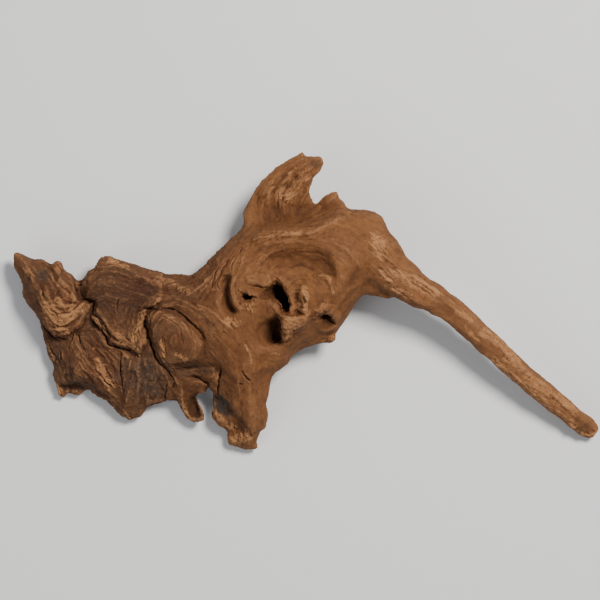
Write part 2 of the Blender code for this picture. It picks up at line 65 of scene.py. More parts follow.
# Which way the fibres run, seen from above
GRAIN_LINES = {
    "arm": [36, 51.5, 55, 36.5, 71.5, 22.5, 87.5, 11, 105.5, -1.5, 126, -17.5, 142, -32.5,
      164, -52.5, 187.5, -72, 211, -91, 228, -103],
    "fin, outer": [-34, 62, -38, 75.5, -31, 90.5, -16, 103.5, -2, 110.5, 11, 110],
    "fin, inner": [-12.5, 62, -16, 75.5, -10.5, 90.5, 0, 100.5, 8, 106.5],
    "little fin": [9.5, 70, 17.5, 78, 24.5, 83.5],
    "brow": [-53, 40.5, -37, 50.5, -18.5, 55, 3.5, 54.5, 19, 62, 34.5, 69.5, 53, 67],
    "west flank": [-110, 1.5, -90.5, 11, -74.5, 23, -62, 37.5, -49, 50],
    "west flank, low": [-78.5, 1.5, -69, 13, -62, 26.5, -53, 39, -39, 46],
    "beside the slit": [-51.5, 31, -56.5, 17, -58.5, 1.5, -53, -11, -43.5, -22],
    "into the leg": [-78.5, -14, -65.5, -26, -53, -39, -47.5, -59.5, -49, -84.5, -51.5, -112.5],
    "leg, right": [-37, -37.5, -34, -55, -36.5, -76.5, -34, -98.5],
    "leg, left": [-71, -55, -70, -75, -64, -96, -57.5, -112.5],
    "bowl": [-43.5, 1.5, -39, -12.5, -32.5, -26, -23, -36],
    "neck, top": [-160.5, 31, -145, 29.5, -121.5, 23, -96.5, 18.5, -82.5, 21.5, -65.5, 40.5],
    "neck": [-145, 13, -125.5, 7, -102, 4.5, -78.5, -6.5],
    "crown": [-173, 14.5, -162, 23, -151, 26.5, -138.5, 20],
    "crown fan": [-168.5, -8, -160.5, -19, -152.5, -28, -138.5, -36],
    "crown, right": [-120, 3, -126, -8, -130, -22, -128.5, -37.5],
    "tongue tip": [-228.5, 36.5, -220, 28, -210.5, 17, -202.5, 4.5],
    "tongue, inner": [-204, 14, -200.5, 0, -191.5, -11, -181, -7, -171.5, 3],
    "tongue, outer": [-220, 7.5, -209, -8, -196.5, -23, -185.5, -23.5, -176, -16],
    "tongue, top": [-199.5, 25, -190, 14, -182.5, 6],
    "grey lobe": [-205.5, -19, -201, -33.5, -193, -47, -191.5, -70.5],
    "brown lobe": [-184, -31.5, -174.5, -47, -162, -62.5, -146.5, -78, -138.5, -89],
    "stained lobe": [-131, -44, -134, -61, -137, -78],
    "stained lobe, right": [-117, -50, -113.5, -65, -112, -75],
    "tine": [-107.5, -47, -103, -61, -96.5, -76.5, -88.5, -90.5],
    "band": [-104.5, -52.5, -86.5, -55, -71.5, -53],
    "flap": [-18.5, -11, -12.5, -20.5, -13, -30.5],
    "flap, top": [-17.5, -10.5, -7.5, -12, 2.5, -15],
    "pouch": [-3, -33, 9.5, -30.5, 20.5, -26, 26.5, -12.5, 33, 0],
    "pouch, bowl": [3.5, -16, 9.5, -25, 19, -25],
    "shoulder": [26.5, 62, 42.5, 59, 56.5, 48, 67.5, 35.5],
    "low hub": [-37, -39, -24, -39, -10.5, -33, -2, -23.5],
}
# Rings of grain: centre, radius along X and along Y, first and last angle in degrees
GRAIN_RINGS = {
    "burl, small": (-102, -30, 6, 8, 0, 360),
    "burl, middle": (-102, -30, 13, 17, 0, 360),
    "burl, wide": (-101, -30, 20, 25, 20, 250),
    "swirl, small": (-5, 0, 18, 20, -60, 200),
    "swirl, middle": (-4, 2, 27, 30, -60, 180),
    "swirl, wide": (-2, 2, 38, 40, -50, 150),
    "knot": (-44, 4, 8, 8, 40, 300),
}
RING_POINTS = 18
# How broadly the grain lines reach: larger blends them more
GRAIN_BLEND = 6.0
# Fibres drawn out along the grain: cells to a speck, cells they reach, seed
LONG_FIBRES = (3, 40, 1)
SHORT_FIBRES = (1, 16, 2)

# Checks and clefts: line, half width, depth
CHECKS = {
    "under the tongue": ([-208.1, -14.9, -205, -19, -201.4, -23.4, -197.4, -27.9, -192.4, -27.9,
      -187.5, -29.3], 0.7, 3.5),
    "tongue to crown": ([-179.5, 12.4, -178.1, 7, -176.8, 2.5, -172.7, 1.6, -169.6, 2.1,
      -168.7, -0.2, -166, -0.6, -163.8, 0.3, -161.5, 2.1], 0.7, 3.5),
    "crown, inner": ([-163.8, -0.2, -165.1, -5.5, -165.6, -9.1, -162, -11.4, -157.5, -14.5,
      -155.7, -18.1, -153.9, -22.5, -151.7, -27], 0.7, 2.6),
    "under the crown": ([-167.4, -10, -166.5, -14.5, -163.8, -18.1, -160.2, -21.6, -156.6, -24.8,
      -155.3, -27, -155.3, -29.7, -153.5, -32.8, -149.5, -33.7, -145.9, -35.1, -140.5, -36.4,
      -135.1, -37.8, -131.5, -39.1, -128.9, -42.7], 0.7, 3.5),
    "spur of the crown": ([-151.2, -30.6, -149, -32.8, -146.8, -34.6], 0.6, 2),
    "brown lobe": ([-179.5, -23.4, -176.3, -27.9, -175.4, -31.5, -173.6, -36, -171.4, -39.6,
      -170.1, -42.2], 0.7, 2.6),
    "hook": ([-179, -20.8, -179.9, -23.9, -183.5, -32.4, -184.8, -36, -184.8, -38.7], 0.6, 1.8),
    "grey lobe": ([-192, -38.2, -191.1, -41.4, -190.7, -45.8], 0.8, 2.2),
    "stained lobe": ([-144.1, -37.8, -142.7, -41.4, -143.6, -46.7, -144.1, -51.2, -144.5, -56.6,
      -143.2, -61.1, -142.7, -67.3], 0.7, 2.4),
    "lower lobe": ([-164.7, -51.2, -161.1, -55.7, -156.6, -61.9, -152.1, -66.4, -148.6, -69.1],
      0.7, 2.2),
    "over the burl": ([-132.4, -9.1, -129.8, -6.9, -125.3, -6, -119.9, -5.7, -113.6, -5.4,
      -106.5, -5.5, -100.2, -7.3, -94.8, -10.9, -89.5, -15.4, -82.5, -21.6, -78.5, -29], 0.65,
      2.8),
    "left of the burl": ([-123, -7.3, -124.4, -12.7, -124.8, -18.1, -123.9, -23.4, -122.1, -28.8,
      -119.9, -33.3, -117.7, -38.7, -115.9, -43.1, -112.7, -47.6, -108.3, -51.6, -105.1, -56.6,
      -102.9, -61.9, -102.4, -67.3], 0.7, 3.8),
    "in the burl": ([-108.3, -27.9, -108.3, -33.3, -108.3, -37.8, -106.9, -43.1], 0.5, 1.6),
    "burl arc": ([-115.4, -13.6, -110.1, -11.4, -102.9, -13.6, -98.4, -18.1, -95.7, -24.3,
      -94.8, -30.6, -93.9, -34.6], 0.6, 1.2),
    "crown check": ([-145, 2.5, -145.7, -1.9, -145.4, -6.4, -145.2, -10.9], 0.6, 2),
    "crown check, small": ([-128.9, 15.1, -129.3, 11.9], 0.6, 1.5),
    "gap by the tine": ([-107.4, -63.7, -109.2, -70, -110.1, -76.6], 0.7, 3.2),
    "band edge": ([-88.3, -59, -82.5, -59.7, -76, -63.6, -72.7, -70.1], 0.9, 3),
    "beside the leg": ([-66.5, -47, -66, -53, -66.5, -58.5, -68.5, -66.5, -68.5, -72.5], 0.7, 3.5),
    "on the leg": ([-49.3, -53.2, -46.8, -57.7, -42.9, -61], 0.8, 2.8),
    "pit of the leg": ([-51.6, -63.6, -49, -64.2], 1.1, 2.8),
    "knot lip": ([-52.6, 9.8, -50.9, 8, -47.9, 5.7], 0.7, 2),
    "knot spike": ([-41.9, 4.5, -38.9, 3.3, -37.1, 2.1], 0.7, 2),
    "knot spike, low": ([-41, 1.8, -38.3, -1.5], 0.6, 1.4),
    "shelf": ([-41.3, 12.2, -34.7, 12, -30, 11.6, -26.4, 13.4], 0.6, 1.6),
    "over the eye": ([-22.8, 19.4, -20.8, 16.6, -18.6, 14.6], 0.65, 2.8),
    "flank, first": ([-54.4, 40.9, -58, 34.9, -62.8, 26.5, -66, 20, -68.2, 13.4, -66.5, 8], 0.7,
      1.8),
    "flank, second": ([-66, 29, -70, 20.6, -71.6, 15, -72, 8], 0.6, 1.6),
    "flank, third": ([-49, 42, -52.6, 36.1, -56.8, 28.9, -58, 23], 0.6, 1.6),
    "brow arc": ([-28.2, 49.8, -22.8, 48, -18, 45.1, -17.4, 42.1], 0.5, 0.9),
    "brow slit": ([-19.2, 49.2, -12, 49.8], 0.5, 1),
    "foot of the fin": ([17.8, 64.8, 25, 65.4], 0.6, 1.4),
    "arc of the pouch": ([11.1, -10.9, 15.7, -9, 17.6, -12.2, 19.6, -14.8, 23.1, -18.3], 0.9, 3),
}
CHECK_REACH = 6.0
# Share of its length over which a check runs out, its least width and least shade there as a
# share of the full one, the power that rounds its flanks, and the lip beside it
CHECK_TAPER = 0.16
LEAST_WIDTH = 0.35
LEAST_SHADE = 0.4
NOTCH_POWER = 0.8
LIP_HEIGHT = 0.3
LIP_PLACE = 1.7
# Shade of the shallowest check, and the depth over which it rises by one
SHALLOW_SHADE = 0.5
SHADE_DEPTH = 4
# Noise that opens and shuts the checks, size and seed, and the span that it is read over
OPENED = (8.0, 15)
OPENED_SPAN = (-0.7, 0.3)
# How far a check, or the foot of a step, paints shade on the wood beside it, and how much a foot
# does
CRACK_REACH = 2.4
FOOT_SHADE = 0.9

# Flakes that stand over their neighbours: outline, height of the step, its width
FLAKES = {
    "tongue": ([-240, 46, -191.5, 46, -178.5, 16, -176, 3, -164.5, 0, -168.5, -11, -176, -22,
      -187, -29, -196.5, -28, -202, -23, -209, -15, -226, 2, -240, 31], 1.6, 1.3),
    "crown": ([-176, 18.5, -168, 40, -110, 40, -109, 1.5, -123, -7, -124.5, -19, -121.5, -30.5,
      -128.5, -42.5, -139.5, -37.5, -151, -33.5, -156.5, -26, -162, -21, -167.5, -12.5, -163.5, -1,
      -171.5, 3], 1.2, 1.2),
    "burl": ([-131.5, -6.5, -122.5, -6.5, -112, -5, -102, -7, -94, -12, -87, -18, -78, -30.5,
      -78, -45.5, -90.5, -51.5, -104.5, -54, -113, -48.5, -117, -41.5, -121, -30.5, -124.5, -19],
      1.0, 1.6),
    "flap": ([-22, -8.5, -15.5, -9, -11, -10.5, -3.5, -10, 1, -11, 3, -15, 0, -20, -6, -23,
      -11, -26.5, -14, -29.5, -17.5, -32, -18.5, -26, -19, -21, -19, -16.5, -20, -12.5], 1.6, 0.8),
    "shelf by the eye": ([-45, 13, -36, 12.5, -28, 11, -25, 15, -27, 21, -38, 23, -47, 19], 1.3,
      1.0),
    "lip of the slit": ([-51, -8.5, -55, -4.5, -57.5, 0.5, -58.5, 7, -58, 14, -56.5, 21, -52, 20,
      -54, 13, -54, 7, -53, 1.5, -50.5, -2.5, -47, -6], 1.3, 1.0),
    "lip of the pouch": ([6, -7.5, 11, -9.5, 15.5, -8, 20, -12.5, 24, -18, 29, -12, 24, -2, 12, 0],
      1.4, 1.0),
    "upper band of the arm": ([60, 33, 69.6, 26.6, 82.6, 21.7, 94.8, 16.2, 104.7, 11.3, 112.5, 5.3,
      130, 10, 100, 34, 75, 50, 62, 44], 1.1, 0.9),
    "band": ([-104, -50, -88, -52, -70, -50, -70, -58, -77, -62, -84, -58.5, -91, -58, -101, -57],
      1.2, 1.0),
}

# Ribs, welts, knobs and dimples: line, half width, rise
WELTS = {
    "hair fibre, left": ([-46.7, -0.3, -44.3, -6.9], 0.6, 1.3),
    "hair fibre, middle": ([-44.3, -0.3, -41.3, -8.1], 0.6, 1.5),
    "hair fibre, right": ([-41.9, -0.9, -38.9, -8.1], 0.6, 1.2),
    "trough by the knobs": ([-7.6, 9.5, -8, 3, -7.4, -3, -7.4, -8], 1.1, -0.7),
    "worn end of the arm": ([212, -94.5, 222, -102.5], 5.5, -2.2),
    "left of the eye": ([-22, 9, -21, 2, -18, -5], 3.4, -5),
    "knob, first": ([-3.2, 9.3, -2.6, 8.8], 1.7, 2.8),
    "knob, second": ([-0.6, 5.6, 0, 5.2], 1.7, 3.2),
    "knob, third": ([0.9, 1.6, 0.9, 1.2], 1.6, 3.0),
    "knob, fourth": ([-1.2, -2.3, -1.4, -2.7], 1.7, 3.2),
    "knob, fifth": ([-1.6, -6.6, -1.4, -7.2], 2.0, 3.4),
    "knob, last": ([0.6, -10.4, 1.8, -11.2], 1.6, 2.0),
    "arc on the hub": ([10.5, 20.5, 14, 20.5, 17.5, 18, 19.5, 12, 20.5, 6], 1.2, 1.2),
    "inner arc": ([11, 17, 15, 16, 16.5, 12], 0.9, -0.8),
    "brow edge": ([-40, 47.5, -24, 52.5, -8, 52, 6, 53, 20, 60.5, 33, 67.5], 1.8, 1.3),
    "brow fold": ([-30, 44, -16, 47, 0, 45], 2.2, 1.2),
    "valley fold": ([-34, 36, -14, 37, 8, 35, 22, 30], 2.4, 1.1),
    "valley fold, low": ([-28, 26, -10, 28, 8, 26, 20, 20], 2.0, -1.1),
    "burl rib": ([-112, -34, -112.5, -42, -109.5, -47], 2.5, 1.4),
    "neck rib": ([-122, 15, -104, 14, -90, 10], 3.0, 1.4),
    "neck rib, low": ([-100, 1, -84, -6, -70, -14], 3.0, 1.2),
    "fin rib": ([-36, 66, -30, 84, -14, 98], 2.5, 1.0),
    "fin dip": ([-24, 72, -18, 84, -8, 94], 3.5, -1.4),
    "arm rib": ([74, 25, 92, 13, 112, -2, 140, -25, 176, -58], 2.5, 1.2),
    "arm rib, low": ([66, 8, 86, 0, 104, -13, 132, -37, 168, -66], 2.5, 1.0),
    "arm worn patch": ([80, 17, 90, 11, 96, 5], 4.0, -1.2),
    "leg rib": ([-40, -48, -37, -70, -40, -96], 3.0, 1.0),
    "leg strip": ([-59, -85, -48.7, -94.8, -42.2, -105.2], 2.0, -2.0),
    "hollow of the leg": ([-68, -77, -62, -86], 4.0, -2.4),
    "tongue rib": ([-214, 20, -206, 2, -194, -14, -184, -14], 2.5, 1.3),
    "tongue rib, inner": ([-202, 12, -197, -3, -189, -10], 2.0, 0.9),
    "crown rib": ([-158, 24, -140, 22, -122, 18], 2.5, 1.2),
    "stained lobe rib": ([-136, -48, -126, -62, -122, -80], 4.0, 1.0),
}
WELT_REACH = 3

# Soft-edged ellipses of worn wood, stains, darker wood and painted shade: x, y, half sizes, turn in
# degrees, strength
WORN_PATCHES = [
    (56, 43, 7, 12, 12, 0.85), (-2.6, 8.8, 1.7, 1.7, 0, 1.6), (0, 5, 2, 2, 0, 1.6),
    (1.1, 1.4, 1.6, 1.6, 0, 1.5), (-1.3, -2.8, 1.8, 1.8, 0, 1.6), (-1.2, -7, 2, 2, 0, 1.6),
    (-216, 24, 8, 4, -40, 0.45), (-131, -38, 4, 5, 0, 0.6), (-57.5, -16, 8, 4, -8, 0.9),
    (-71.5, -22, 2.5, 3, 0, 0.6), (20.5, 63, 9, 2, 25, 0.5), (-16, 82, 6.5, 7, 0, 1.05),
    (-6, 92, 10, 16, -20, 0.5), (-2, 95, 2.5, 4.5, 0, 0.6), (-28, 89, 3, 8, -35, 0.5),
    (-1.8, 1, 3.8, 10, 0, 1.5), (0.5, -9, 3, 3, 0, 1.0), (-11, -17, 7, 6, 0, 1.0),
    (-14, -25, 3, 5, 10, 1.0), (12.5, -30.5, 9, 1.8, 6, 0.6), (21.5, -28, 3, 3.6, 0, 0.6),
    (-50, -107, 10, 4.5, 12, 0.95), (-178.5, -71, 4, 2.2, 0, 0.7), (-138.5, -89, 6, 3, 0, 0.6),
    (-151, -77.5, 6, 2.4, -38, 0.6), (-44, -4.5, 4, 5, 15, 0.5), (-51.5, 48, 7, 2.6, 35, 0.4),
    (36, 68.5, 8, 2, 0, 0.4), (-120, -78, 8, 2.4, 10, 0.5), (-34, 31, 7, 4, 10, 0.35),
    (30.5, 36.5, 7, 11, 10, 0.25),
]
STAIN_PATCHES = [
    (-204, 21, 5.5, 4, 0, 0.9), (-121.5, 7, 7, 9.5, 0, 0.3), (-137, 1.5, 17, 11, 0, 0.3),
    (-152, 14, 19, 10, 10, 0.25), (-127, -58.5, 17, 16.5, 0, 0.75),
    (-120, -65.5, 9.5, 9.5, 0, 0.8), (-64.5, -81.5, 4.5, 8.5, 35, 2.4), (8, 107, 5, 4.5, 0, 0.5),
    (-181, -65.5, 10, 4, 0, 1), (-198, -37.5, 8, 11, 0, 0.5), (-190, -55, 11, 9.5, 0, 0.35),
    (217.3, -98.2, 8.5, 4.2, -37, 0.3), (-156.5, 1.5, 11, 8, 0, 0.4),
    (-85.5, -53, 15.5, 4.5, 0, 0.45), (-162, -18, 8, 9.5, 0, 0.4), (-86.5, -86, 3, 7, 20, 0.9),
]
# Darker wood, and painted shade at the fin's foot, in the crown's recess, on the arm's lower flank
# and beside the eye, the flap, the slit's lip and the pouch
SHADE_AND_DARK_PATCHES = [
    (-16, 68.5, 18, 6, 10, 0.65), (-24, 60, 22, 4, 8, 0.3), (-57, -42, 16, 9, 0, 0.35),
    (-199, 8, 9, 8, 0, 1.1), (-147, 9, 26, 15, 0, 1), (-129, 4, 16, 13, 0, 1.5),
    (-137, -77, 6, 6, 0, 0.5), (-66, -80, 5, 9, 35, 1.3), (-165, -67, 14, 9, -35, 0.4),
    (-206, 22, 10, 8, -40, 0.3), (-145, -85, 14, 6, -10, 0.3), (-42, -24, 10, 14, 20, 0.4),
    (118, -17, 24, 6, -40, 0.35), (97, 20, 20, 4, -32, 0.25), (14, -20, 9, 7, 0, 0.4),
    (-92, -30, 8, 14, 0, 0.2), (-88, -80, 5, 8, 20, 0.5), (-49.5, -96.5, 2.4, 11, 38, 0.9),
    (-185, -60, 14, 8, 0, 0.3), (-60, 6, 5, 14, 0, 0.5), (217.5, -97.8, 9, 4.2, -37, 0.6),
    (-28, -23, 7, 9, 0, 0.6), (-23, -22, 4, 9, 0, 0.9), (-24, 3, 8, 9, 0, 0.5),
    (-122, -33, 5, 22, -15, 0.4), (-2, 84, 6, 14, -20, 0.3),
]
# Worn strokes: line, half width, strength
WORN_STROKES = [
    ([-205.5, 8, -202.8, -1.9], 1.8, 0.6),
    ([-202.3, -1.9, -198.7, -12.7, -193.3, -19.9, -187, -22.5], 4, 0.95),
    ([-191.5, 0.7, -184.4, -3.7, -174.5, -5.5], 4, 0.85),
    ([-196, -5.5, -190.7, -12.7, -182.6, -12.7], 4.5, 0.85),
    ([-152, 32, -145.5, 30, -139, 27.5], 2.6, 0.9), ([-126, -8, -129, -18, -132, -28], 3.2, 0.85),
    ([-164, -12.5, -159, -18, -156, -23], 2.6, 0.85), ([-146, -26, -140, -32], 3.4, 0.7),
    ([-163, -46, -159, -53, -154.5, -61, -150, -66], 3, 0.8),
    ([-203, -32, -200, -40, -197.5, -46], 2.4, 0.6), ([-110.5, -30, -110.5, -42], 2, 0.75),
    ([-100, -41, -92, -44.5], 1.8, 0.7), ([-117, 18, -108, 16, -102, 14.5], 2.6, 0.7),
    ([-97, 11, -91, 7], 2.6, 0.75), ([-196, -67, -193.5, -70.5], 2.6, 0.9),
    ([-73, -79, -71, -88, -63, -95.5, -56, -98], 2.6, 1.25),
    ([-97.5, -73, -97, -82, -92, -91, -84, -93], 1.7, 0.95),
    ([60, 22, 74, 19, 88, 13, 99, 7], 5, 0.86), ([62, 11, 72, 8, 80, 4], 3, 0.8),
    ([117, -7, 127, -14], 2.2, 1), ([124, -19, 133, -29], 2, 0.85),
    ([138, -24, 153, -34, 165, -45], 3.4, 1.05), ([155, -43, 168, -52], 2.6, 1.0),
    ([146, -46, 170, -67, 193, -86, 206, -97], 3.6, 0.95),
    ([172, -57, 196, -75, 211, -87], 3.6, 0.85),
    ([208, -90.5, 208, -96, 214.5, -103, 223, -104.8, 227.3, -101.5], 1.3, 1.6),
    ([-46.7, -0.3, -44.3, -6.9], 0.6, 0.8), ([-44.3, -0.3, -41.3, -8.1], 0.6, 0.8),
    ([11.8, 20, 16.6, 18.4, 18.8, 14.6, 16.8, 11], 1.1, 1), ([21.4, 12.2, 22, 6.3], 0.9, 0.9),
    ([-31.2, -40.9, -25.2, -39.7, -20.4, -40.3], 0.8, 0.8),
    ([-46.7, -31.5, -42, -42, -41, -47], 1.2, 0.9), ([-30, 50, -16, 53, -4, 52.5], 2.6, 0.7),
]
# Where a patch or stroke ends and from where it has its full strength, in half sizes
PATCH_FADE = (1.6, 0.45)

# The pith of each limb, round which its growth layers lie: x, y, z
PITHS = {
    "plate": [-220, 28, 14, -180, -5, 12, -140, -25, 14, -100, -15, 20, -60, 0, 28, -20, 15, 36],
    "lower plate": [-185, -55, 12, -140, -60, 14, -105, -45, 18, -60, -25, 26],
    "arm": [30, 40, 38, 55, 31, 40, 88, 8, 36, 126, -18, 29, 164, -52, 22, 211, -91, 9,
      230, -104, 5],
    "leg": [-40, -20, 30, -48, -60, 20, -48, -112, 6],
    "fin": [-15, 50, 34, -22, 85, 36, 5, 112, 42],
}
# Knots with rings of their own: x, y, reach, what X is stretched by
KNOTS = {
    "burl": (-102, -30, 27, 1.25),
    "swirl": (-4, 2, 44, 1.0),
    "knot hole": (-45, 3, 13, 1.0),
    "tongue fan": (-190, 12, 34, 1.0),
}
# Where a knot ends and where it is full, in reaches, and the depth in the growth layers beside
# it: slope over the radius, and what it starts from
KNOT_FADE = (1.4, 0.4)
KNOT_DEPTH = (0.8, 6)
# Noise that bends the growth layers: size, seed, strength; and the distance between two rings
BEND = (26.0, 31, 5.0)
RING_STEP = 3.1

# Where the grain stands out and where its ribs show in the colour, with the level elsewhere; where
# both are calmer; and where pale wood is no rougher than the rest: as the patches
ROUGH_PLACES = [
    (-150, -25, 75, 75, 0, 1.0), (-75, 22, 34, 22, 40, 0.9), (-60, -85, 30, 45, 0, 0.55),
    (-20, 85, 32, 32, 0, 0.6), (-30, 50, 45, 10, 5, 0.6), (0, 18, 16, 10, 0, 0.4),
]
ROUGH_LEVEL = 0.34
STREAKY_PLACES = [
    (-155, -22, 60, 75, 0, 0.75), (-70, 22, 22, 18, 40, 0.8), (150, -40, 110, 24, -40, 0.9),
    (-20, 85, 32, 28, 0, 0.5),
]
STREAKY_LEVEL = 0.3
CALM_PLACES = [
    (-102, -28, 17, 20, 0, 1), (-146, 10, 24, 14, 0, 0.8),
]
CALMED = 0.6
EVEN_PLACES = [
    (-4, -3, 10, 14, 0, 0.95), (-11, -19, 9, 10, 0, 0.9),
]
WORN_ROUGHNESS = 0.9

# Bundles of fibres: distance, tilt, turn and shift of their grain, gap between them
BUNDLE_SIZE = 12.0
BUNDLE_TILT = 0.16
BUNDLE_TURN = 0.9
BUNDLE_SHIFT = 6.0
BUNDLE_GAP = 0.9
# Share of the bundles that are joined to their neighbours, depth and shade of the open gaps
BUNDLES_JOINED = 0.6
GAP_DEPTH = 0.9
GAP_SHADE = 0.86

# The slopes that count as up, down, steep and wall: spans of the normal's Z, or of its size
UP = (-0.1, 0.6)
DOWN = (0, -0.6)
STEEP = (0.8, 0.3)
WALL = (0.55, 0.25)

# Clouds that bend the marks, coarse and fine: size, seeds, how far they bend
WOBBLE = (7.0, (11, 12), 1.2)
FRAY = (2.6, (13, 14), 0.7)
# How much further the bundles and the fibres are bent by the coarse one
BUNDLE_WOBBLE = 3.0
FIBRE_WOBBLE = 0.8
# Ribs and hairs on steep walls: how drawn out, sizes, seeds, strength
WALL_STRETCH = 0.16
WALL_RIBS = (2.6, 41)
WALL_HAIRS = (1.1, 43)
WALL_STRENGTH = 1.6
# Knobs and crumble: size, seed, layers, fall
KNOBS = (13.0, 51, 4, 0.55)
CRUMBLE = (3.2, 61, 3, 0.7)
# Scales: how many to one unit of the knobs' noise, and how much the ribs move their edges
SCALES = 2.4
SCALE_RIBS = 0.25
# What each kind of relief adds: the first three in grain depths, the rest in millimetres
RELIEF = {"rib": 1.1, "hair": 0.5, "ring": 0.15, "knob": 0.7, "scale": 0.4, "crumb": 0.2,
          "rim": 0.75, "underside": 0.5}
# Span of the knobs' noise over which steep rims turn ragged, the power of the roughness there,
# and how much calmer the relief is in a check
RAGGED_SPAN = (-0.6, 0.4)
RIM_POWER = 1.5
CRACK_CALM = 0.6

# Hollows that the imported solid has, painted darker towards the floor as shade: x, y, radius,
# floor, mouth
DEEP_PLACES = [
    (-18, 3, 15, 31, 62), (-21, -23, 13, 32, 52), (-46, 2, 8, 44, 60), (-59, 8, 5, 50, 58),
    (14, -11, 10, 36, 50),
]
# Hollows that silt has part filled: x, y, radius, rim height, share of the depth left
FILLED = [
    (-24, -23, 15, 49, 0.62), (-46, 3, 7, 57, 0.7), (15, -14, 9, 48, 0.55), (0, 31, 24, 66, 0.8),
]
# Rims of the hollows, x, y, radius, and how far they wander
RIMS = [
    (-15, 3, 17), (-46, 3, 8), (14, -10, 9), (-18, -22, 12),
]
RIM_FRAY = 1.5
# Where each of the three ends, and how wide the edge is, in radii; and the share of its depth
# from which a hollow's painted shade is full
DEEP_END = 1.25
FILLED_END = 1.3
RIM_END = 1.2
ROUND_EDGE = 0.4
DARK_FROM = 0.45
# Nothing of the hub's underside lies above the first height, no hollow reaches below the second
OVER_UNDERSIDE = (24.0, 28.0)

# What ribs and hairs add to the masks of fibres and ribs
FIBRE_RIBS = 0.096
FIBRE_HAIRS = 0.128
RIB_SHARE = 0.22
# Rounds of smoothing, and heights over the smoothed surface, that the masks of form read
BULGE = (24, 0.8)
SWELL = (500, 4.0)


def vertex_rows(mesh, name):
    """One property of every vertex, three numbers in a row."""
    flat = np.empty(len(mesh.vertices) * 3)
    mesh.vertices.foreach_get(name, flat)
    return flat.reshape(-1, 3)


def mm_points(mesh):
    """Every vertex of the mesh, in millimetres."""
    return vertex_rows(mesh, "co") / MM


def corners_of(line, size=2):
    """The points of a flat list, one row each."""
    return np.reshape(np.array(line, dtype=float), (-1, size))


def ramped(value, low, high):
    """0 up to low, 1 from high on, and between them the smooth step 3v^2 - 2v^3. It falls where
    high is less than low."""
    share = np.clip((value - low) / (high - low), 0, 1)
    return share * share * (3 - 2 * share)


def lattice_draw(cell, seed):
    """Repeatable whole number for each lattice point: primes mixed by shifts."""
    mixed = (cell[0] * 374761393 + cell[1] * 668265263 + cell[2] * 1440662683
             + seed * 974711) & 0xFFFFFFFF
    mixed = ((mixed ^ (mixed >> 13)) * 1274126177) & 0xFFFFFFFF
    return mixed ^ (mixed >> 16)


def cloud(points, size, seed):
    """Gradient noise about -1 to 1: at each lattice corner a slope is drawn, and the eight
    slopes round a point are blended by the quintic ease 6t^5 - 15t^4 + 10t^3."""
    slopes = np.array([(1, 1, 0), (-1, 1, 0), (1, -1, 0), (-1, -1, 0), (1, 0, 1), (-1, 0, 1),
                       (1, 0, -1), (-1, 0, -1), (0, 1, 1), (0, -1, 1), (0, 1, -1),
                       (0, -1, -1)], dtype=float)
    place = points / size
    cell = np.floor(place).astype(np.int64)
    part = place - cell
    ease = part ** 3 * (part * (part * 6 - 15) + 10)
    total = np.zeros(len(points))
    for corner in np.ndindex(2, 2, 2):
        step = np.array(corner)
        draw = lattice_draw((cell + step).T, seed) % len(slopes)
        reach = ((part - step) * slopes[draw]).sum(axis=1)
        total += np.where(step == 1, ease, 1 - ease).prod(axis=1) * reach
    return total


def layered_cloud(points, size, seed, layers=3, fall=0.5):
    """Clouds at halving sizes and falling strengths, added together."""
    return sum(fall ** layer * cloud(points, size / 2 ** layer, seed + layer)
               for layer in range(layers))


def shake(points, size, seeds):
    """Two clouds side by side, to move points in the plan."""
    return np.stack([cloud(points, size, seed) for seed in seeds], axis=1)


def segment_gap(points, start, run):
    """The share of the run from start that each point is nearest to, and how far off it is."""
    along = ((points - start) @ run / (run @ run)).clip(0, 1)
    return along, np.linalg.norm(points - start - along[:, None] * run, axis=1)


def line_gap(plan, line, reach):
    """The points within reach of a line's box, their distance to the line and the share of its
    length passed."""
    corners = corners_of(line)
    near = np.all((plan > corners.min(0) - reach) & (plan < corners.max(0) + reach), axis=1)
    chosen = np.nonzero(near)[0]
    gap = np.full(len(chosen), np.inf)
    passed = np.zeros(len(chosen))
    runs = np.diff(corners, axis=0)
    lengths = np.linalg.norm(runs, axis=1)
    for start, run, length, begun in zip(corners, runs, lengths, np.cumsum(lengths) - lengths):
        along, distance = segment_gap(plan[chosen], start, run)
        closer = distance < gap
        gap[closer] = distance[closer]
        passed[closer] = (begun + along[closer] * length) / lengths.sum()
    return chosen, gap, passed


def inside(plan, outline):
    """True for points with an odd number of the outline's edges on one side of them."""
    corners = corners_of(outline)
    odd = np.zeros(len(plan), dtype=bool)
    for (x0, y0), (x1, y1) in zip(corners, np.roll(corners, -1, axis=0)):
        if y0 != y1:
            spans = (plan[:, 1] > min(y0, y1)) & (plan[:, 1] <= max(y0, y1))
            odd ^= spans & (plan[:, 0] > x0 + (plan[:, 1] - y0) * (x1 - x0) / (y1 - y0))
    return odd


def turned(plan, angle):
    """Plan directions turned by an angle each, or all by one."""
    cosine, sine = np.cos(angle), np.sin(angle)
    return np.stack([plan[:, 0] * cosine - plan[:, 1] * sine,
                     plan[:, 0] * sine + plan[:, 1] * cosine], axis=1)


def patches(points, ellipses):
    """The strongest of the soft-edged ellipses at each point: strength within, 0 outside."""
    most = np.zeros(len(points))
    for x, y, wide, tall, turn, strength in ellipses:
        offset = turned(points[:, :2] - (x, y), -math.radians(turn)) / (wide, tall)
        radius = np.sqrt((offset ** 2).sum(axis=1))
        most = np.maximum(most, strength * ramped(radius, *PATCH_FADE))
    return most


def strokes(plan, lines):
    """The strongest of the soft-edged strokes at each point."""
    most = np.zeros(len(plan))
    for line, width, strength in lines:
        chosen, gap, _ = line_gap(plan, line, width * PATCH_FADE[0])
        most[chosen] = np.maximum(most[chosen], strength * ramped(gap / width, *PATCH_FADE))
    return most


def levelled(points, places, level):
    """From the level, away from the places, up to 1 in them; the calm places take some off."""
    placed = patches(points, places) * (1 - CALMED * patches(points, CALM_PLACES))
    return level + (1 - level) * placed


